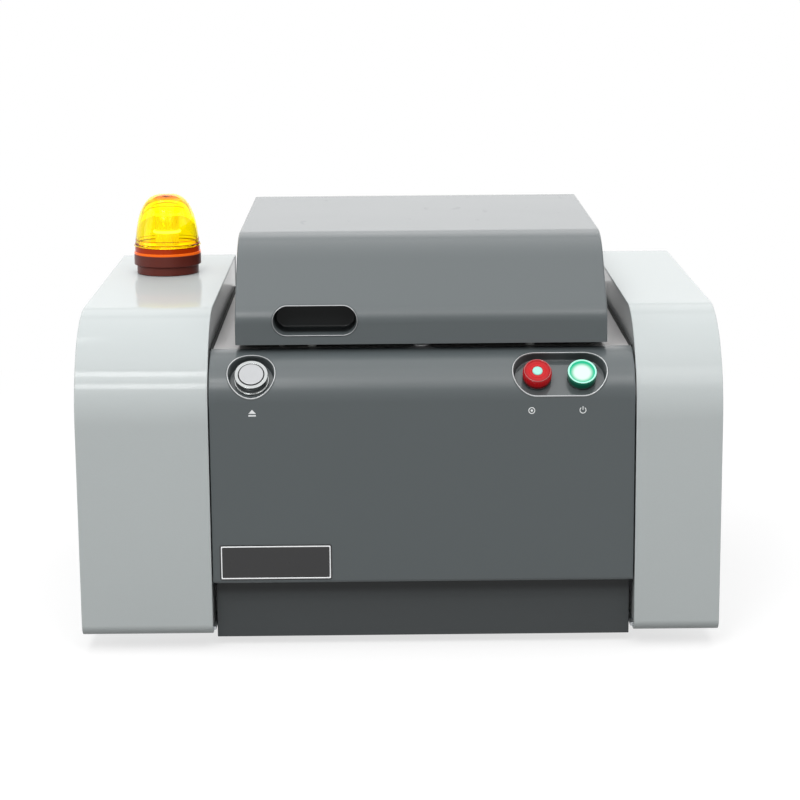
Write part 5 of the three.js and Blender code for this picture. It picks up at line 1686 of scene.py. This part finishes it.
@dataclass(frozen=True)
class PanelLight:
    """A rectangular studio light that faces a point."""

    name: str
    place: Point3
    target: Point3
    size: Point2
    power: float

    def build(self) -> None:
        """Adds the light to the scene."""
        data = bpy.data.lights.new(self.name, "AREA")
        data.shape = "RECTANGLE"
        data.size, data.size_y = self.size
        data.energy = self.power
        lamp = bpy.data.objects.new(self.name, data)
        away = Vector(self.place) - Vector(self.target)
        lamp.matrix_world = Matrix.Translation(self.place) @ away.to_track_quat("Z", "Y").to_matrix().to_4x4()
        bpy.context.scene.collection.objects.link(lamp)


ROOM_MIDDLE: Point3 = (0.0, 0.0, 0.3)
LEFT_FRONT: Point3 = (-0.22, -0.205, 0.25)
LIGHTS = (
    PanelLight("low_box", (0.0, -2.75, 1.95), (0.0, -0.2, 0.25), (3.2, 1.0), 13.0),
    PanelLight("key_box", (0.0, -1.75, 2.6), (0.0, -0.15, 0.2), (3.2, 1.7), 36.0),
    PanelLight("top_box", (0.0, 0.5, 2.85), (0.0, 0.5001, 0.2), (3.2, 3.0), 45.0),
    PanelLight("back_high_box", (0.0, 3.0, 2.3), ROOM_MIDDLE, (5.0, 1.2), 24.0),
    PanelLight("back_low_box", (0.0, 3.2, 0.85), ROOM_MIDDLE, (5.0, 0.9), 11.0),
    PanelLight("left_side_box", (-2.6, -0.6, 1.2), (0.0, 0.0, 0.2), (1.6, 1.6), 18.0),
    PanelLight("right_side_box", (2.6, -0.6, 1.2), (0.0, 0.0, 0.2), (1.6, 1.6), 18.0),
    PanelLight("left_high_strip", (-0.62, -1.895, 2.093), LEFT_FRONT, (0.55, 0.26), 6.4),
    PanelLight("left_low_strip", (-0.62, -2.309, 1.6), LEFT_FRONT, (0.55, 0.26), 6.2),
    PanelLight("left_roll_box", (-0.62, -2.13, 1.88), LEFT_FRONT, (0.6, 0.8), 4.2),
    PanelLight("right_roll_box", (0.62, -2.13, 1.88), (0.24, -0.205, 0.25), (0.5, 0.9), 5.0),
    PanelLight("left_crown_box", (-0.76, -0.1, 2.5), (-0.25, -0.17, 0.25), (0.42, 0.42), 2.8),
)


@dataclass
class Studio:
    """The camera, the white world, the pale floor and the lights. Its places are in metres."""

    eye: Point3 = (-0.0094, -2.1157, 0.618)
    lens: float = 103.85
    sensor: float = 36.0
    farthest: float = 60.0
    pitch: float = 11.723
    yaw: float = 0.311
    roll: float = -0.470
    fill: float = 0.2
    floor_tone: float = 0.28
    floor_glow: float = 0.7
    floor_half: float = 6.0
    floor_fade: Point2 = (0.55, 1.2)

    def build(self) -> None:
        """Builds the studio."""
        bpy.context.scene.view_settings.view_transform = "Standard"
        self.camera()
        self.world()
        self.floor()
        for light in LIGHTS:
            light.build()

    def camera(self) -> None:
        """Adds the camera at the photograph's viewing angle."""
        data = bpy.data.cameras.new("camera")
        data.lens = self.lens
        data.sensor_width = self.sensor
        data.sensor_fit = "HORIZONTAL"
        data.clip_end = self.farthest
        camera = bpy.data.objects.new("camera", data)
        yaw, pitch, roll = (math.radians(angle) for angle in (self.yaw, self.pitch, self.roll))
        ahead = Vector((math.sin(yaw) * math.cos(pitch), math.cos(yaw) * math.cos(pitch), -math.sin(pitch)))
        right = Vector((math.cos(yaw), -math.sin(yaw), 0.0))
        up = right.cross(ahead)
        across = right * math.cos(roll) + up * math.sin(roll)
        above = up * math.cos(roll) - right * math.sin(roll)
        turn = Matrix((across, above, -ahead)).transposed().to_4x4()
        camera.matrix_world = Matrix.Translation(self.eye) @ turn
        bpy.context.scene.collection.objects.link(camera)
        bpy.context.scene.camera = camera

    @staticmethod
    def seen(graph: Graph) -> Wire:
        """Returns 1 for camera, glossy and transmission rays, and 0 for the rest."""
        rays = graph.node("ShaderNodeLightPath", {}, {})
        direct = graph.out(rays, "Is Camera Ray") + graph.out(rays, "Is Glossy Ray")
        return graph.maths("ADD", direct, graph.out(rays, "Is Transmission Ray"), clamp=True)

    @staticmethod
    def shone(graph: Graph, kind: str, strength: float) -> Wire:
        """Returns a white background or emission shader."""
        return graph.made(kind, {}, {"Color": (1.0, 1.0, 1.0), "Strength": strength})

    def world(self) -> None:
        """Makes a world that looks white and lights softly."""
        world = bpy.data.worlds.new("white_room")
        world.use_nodes = True
        world.node_tree.nodes.clear()
        graph = Graph(world.node_tree)
        soft, white = (self.shone(graph, "ShaderNodeBackground", power) for power in (self.fill, 1.0))
        mixed = graph.made("ShaderNodeMixShader", {}, {0: self.seen(graph), 1: soft, 2: white})
        graph.node("ShaderNodeOutputWorld", {}, {"Surface": mixed})
        bpy.context.scene.world = world

    def floor(self) -> None:
        """Makes a pale floor that looks white and keeps the object's shadow."""
        material = bpy.data.materials.new("floor_paint")
        material.use_nodes = True
        material.node_tree.nodes.clear()
        graph = Graph(material.node_tree)
        matt = graph.made("ShaderNodeBsdfDiffuse", {}, {"Color": (self.floor_tone,) * 3})
        glow, white = (self.shone(graph, "ShaderNodeEmission", power) for power in (self.floor_glow, 1.0))
        lit = graph.made("ShaderNodeAddShader", {}, {0: matt, 1: glow})
        distance = graph.made("ShaderNodeVectorMath", {"operation": "LENGTH"}, {0: graph.place()}, "Value")
        faded = graph.made("ShaderNodeMixShader", {}, {0: distance.step(*self.floor_fade), 1: lit, 2: white})
        mixed = graph.made("ShaderNodeMixShader", {}, {0: self.seen(graph), 1: matt, 2: faded})
        graph.node("ShaderNodeOutputMaterial", {}, {"Surface": mixed})
        half = self.floor_half
        mesh = bpy.data.meshes.new("floor")
        mesh.from_pydata([(u, v, 0.0) for u, v in rectangle(-half, -half, half, half)], [], [(0, 1, 2, 3)])
        mesh.materials.append(material)
        solid_object("floor", mesh)


def main() -> None:
    """Builds the sub-assemblies in order, then the studio."""
    logging.basicConfig(level=logging.INFO, format="%(name)s: %(message)s")
    patterns = Patterns()
    panel = FrontPanel(patterns)
    first = [Housings(patterns), Base(patterns), panel, Controls(patterns, panel)]
    rest = [kind(patterns) for kind in (Lid, Chamber, Hinges, Rear, Insides, Beacon)]
    for part in (*first, *rest, Studio()):
        LOG.info("building %s", type(part).__name__)
        part.build()


if __name__ == "__main__":
    main()
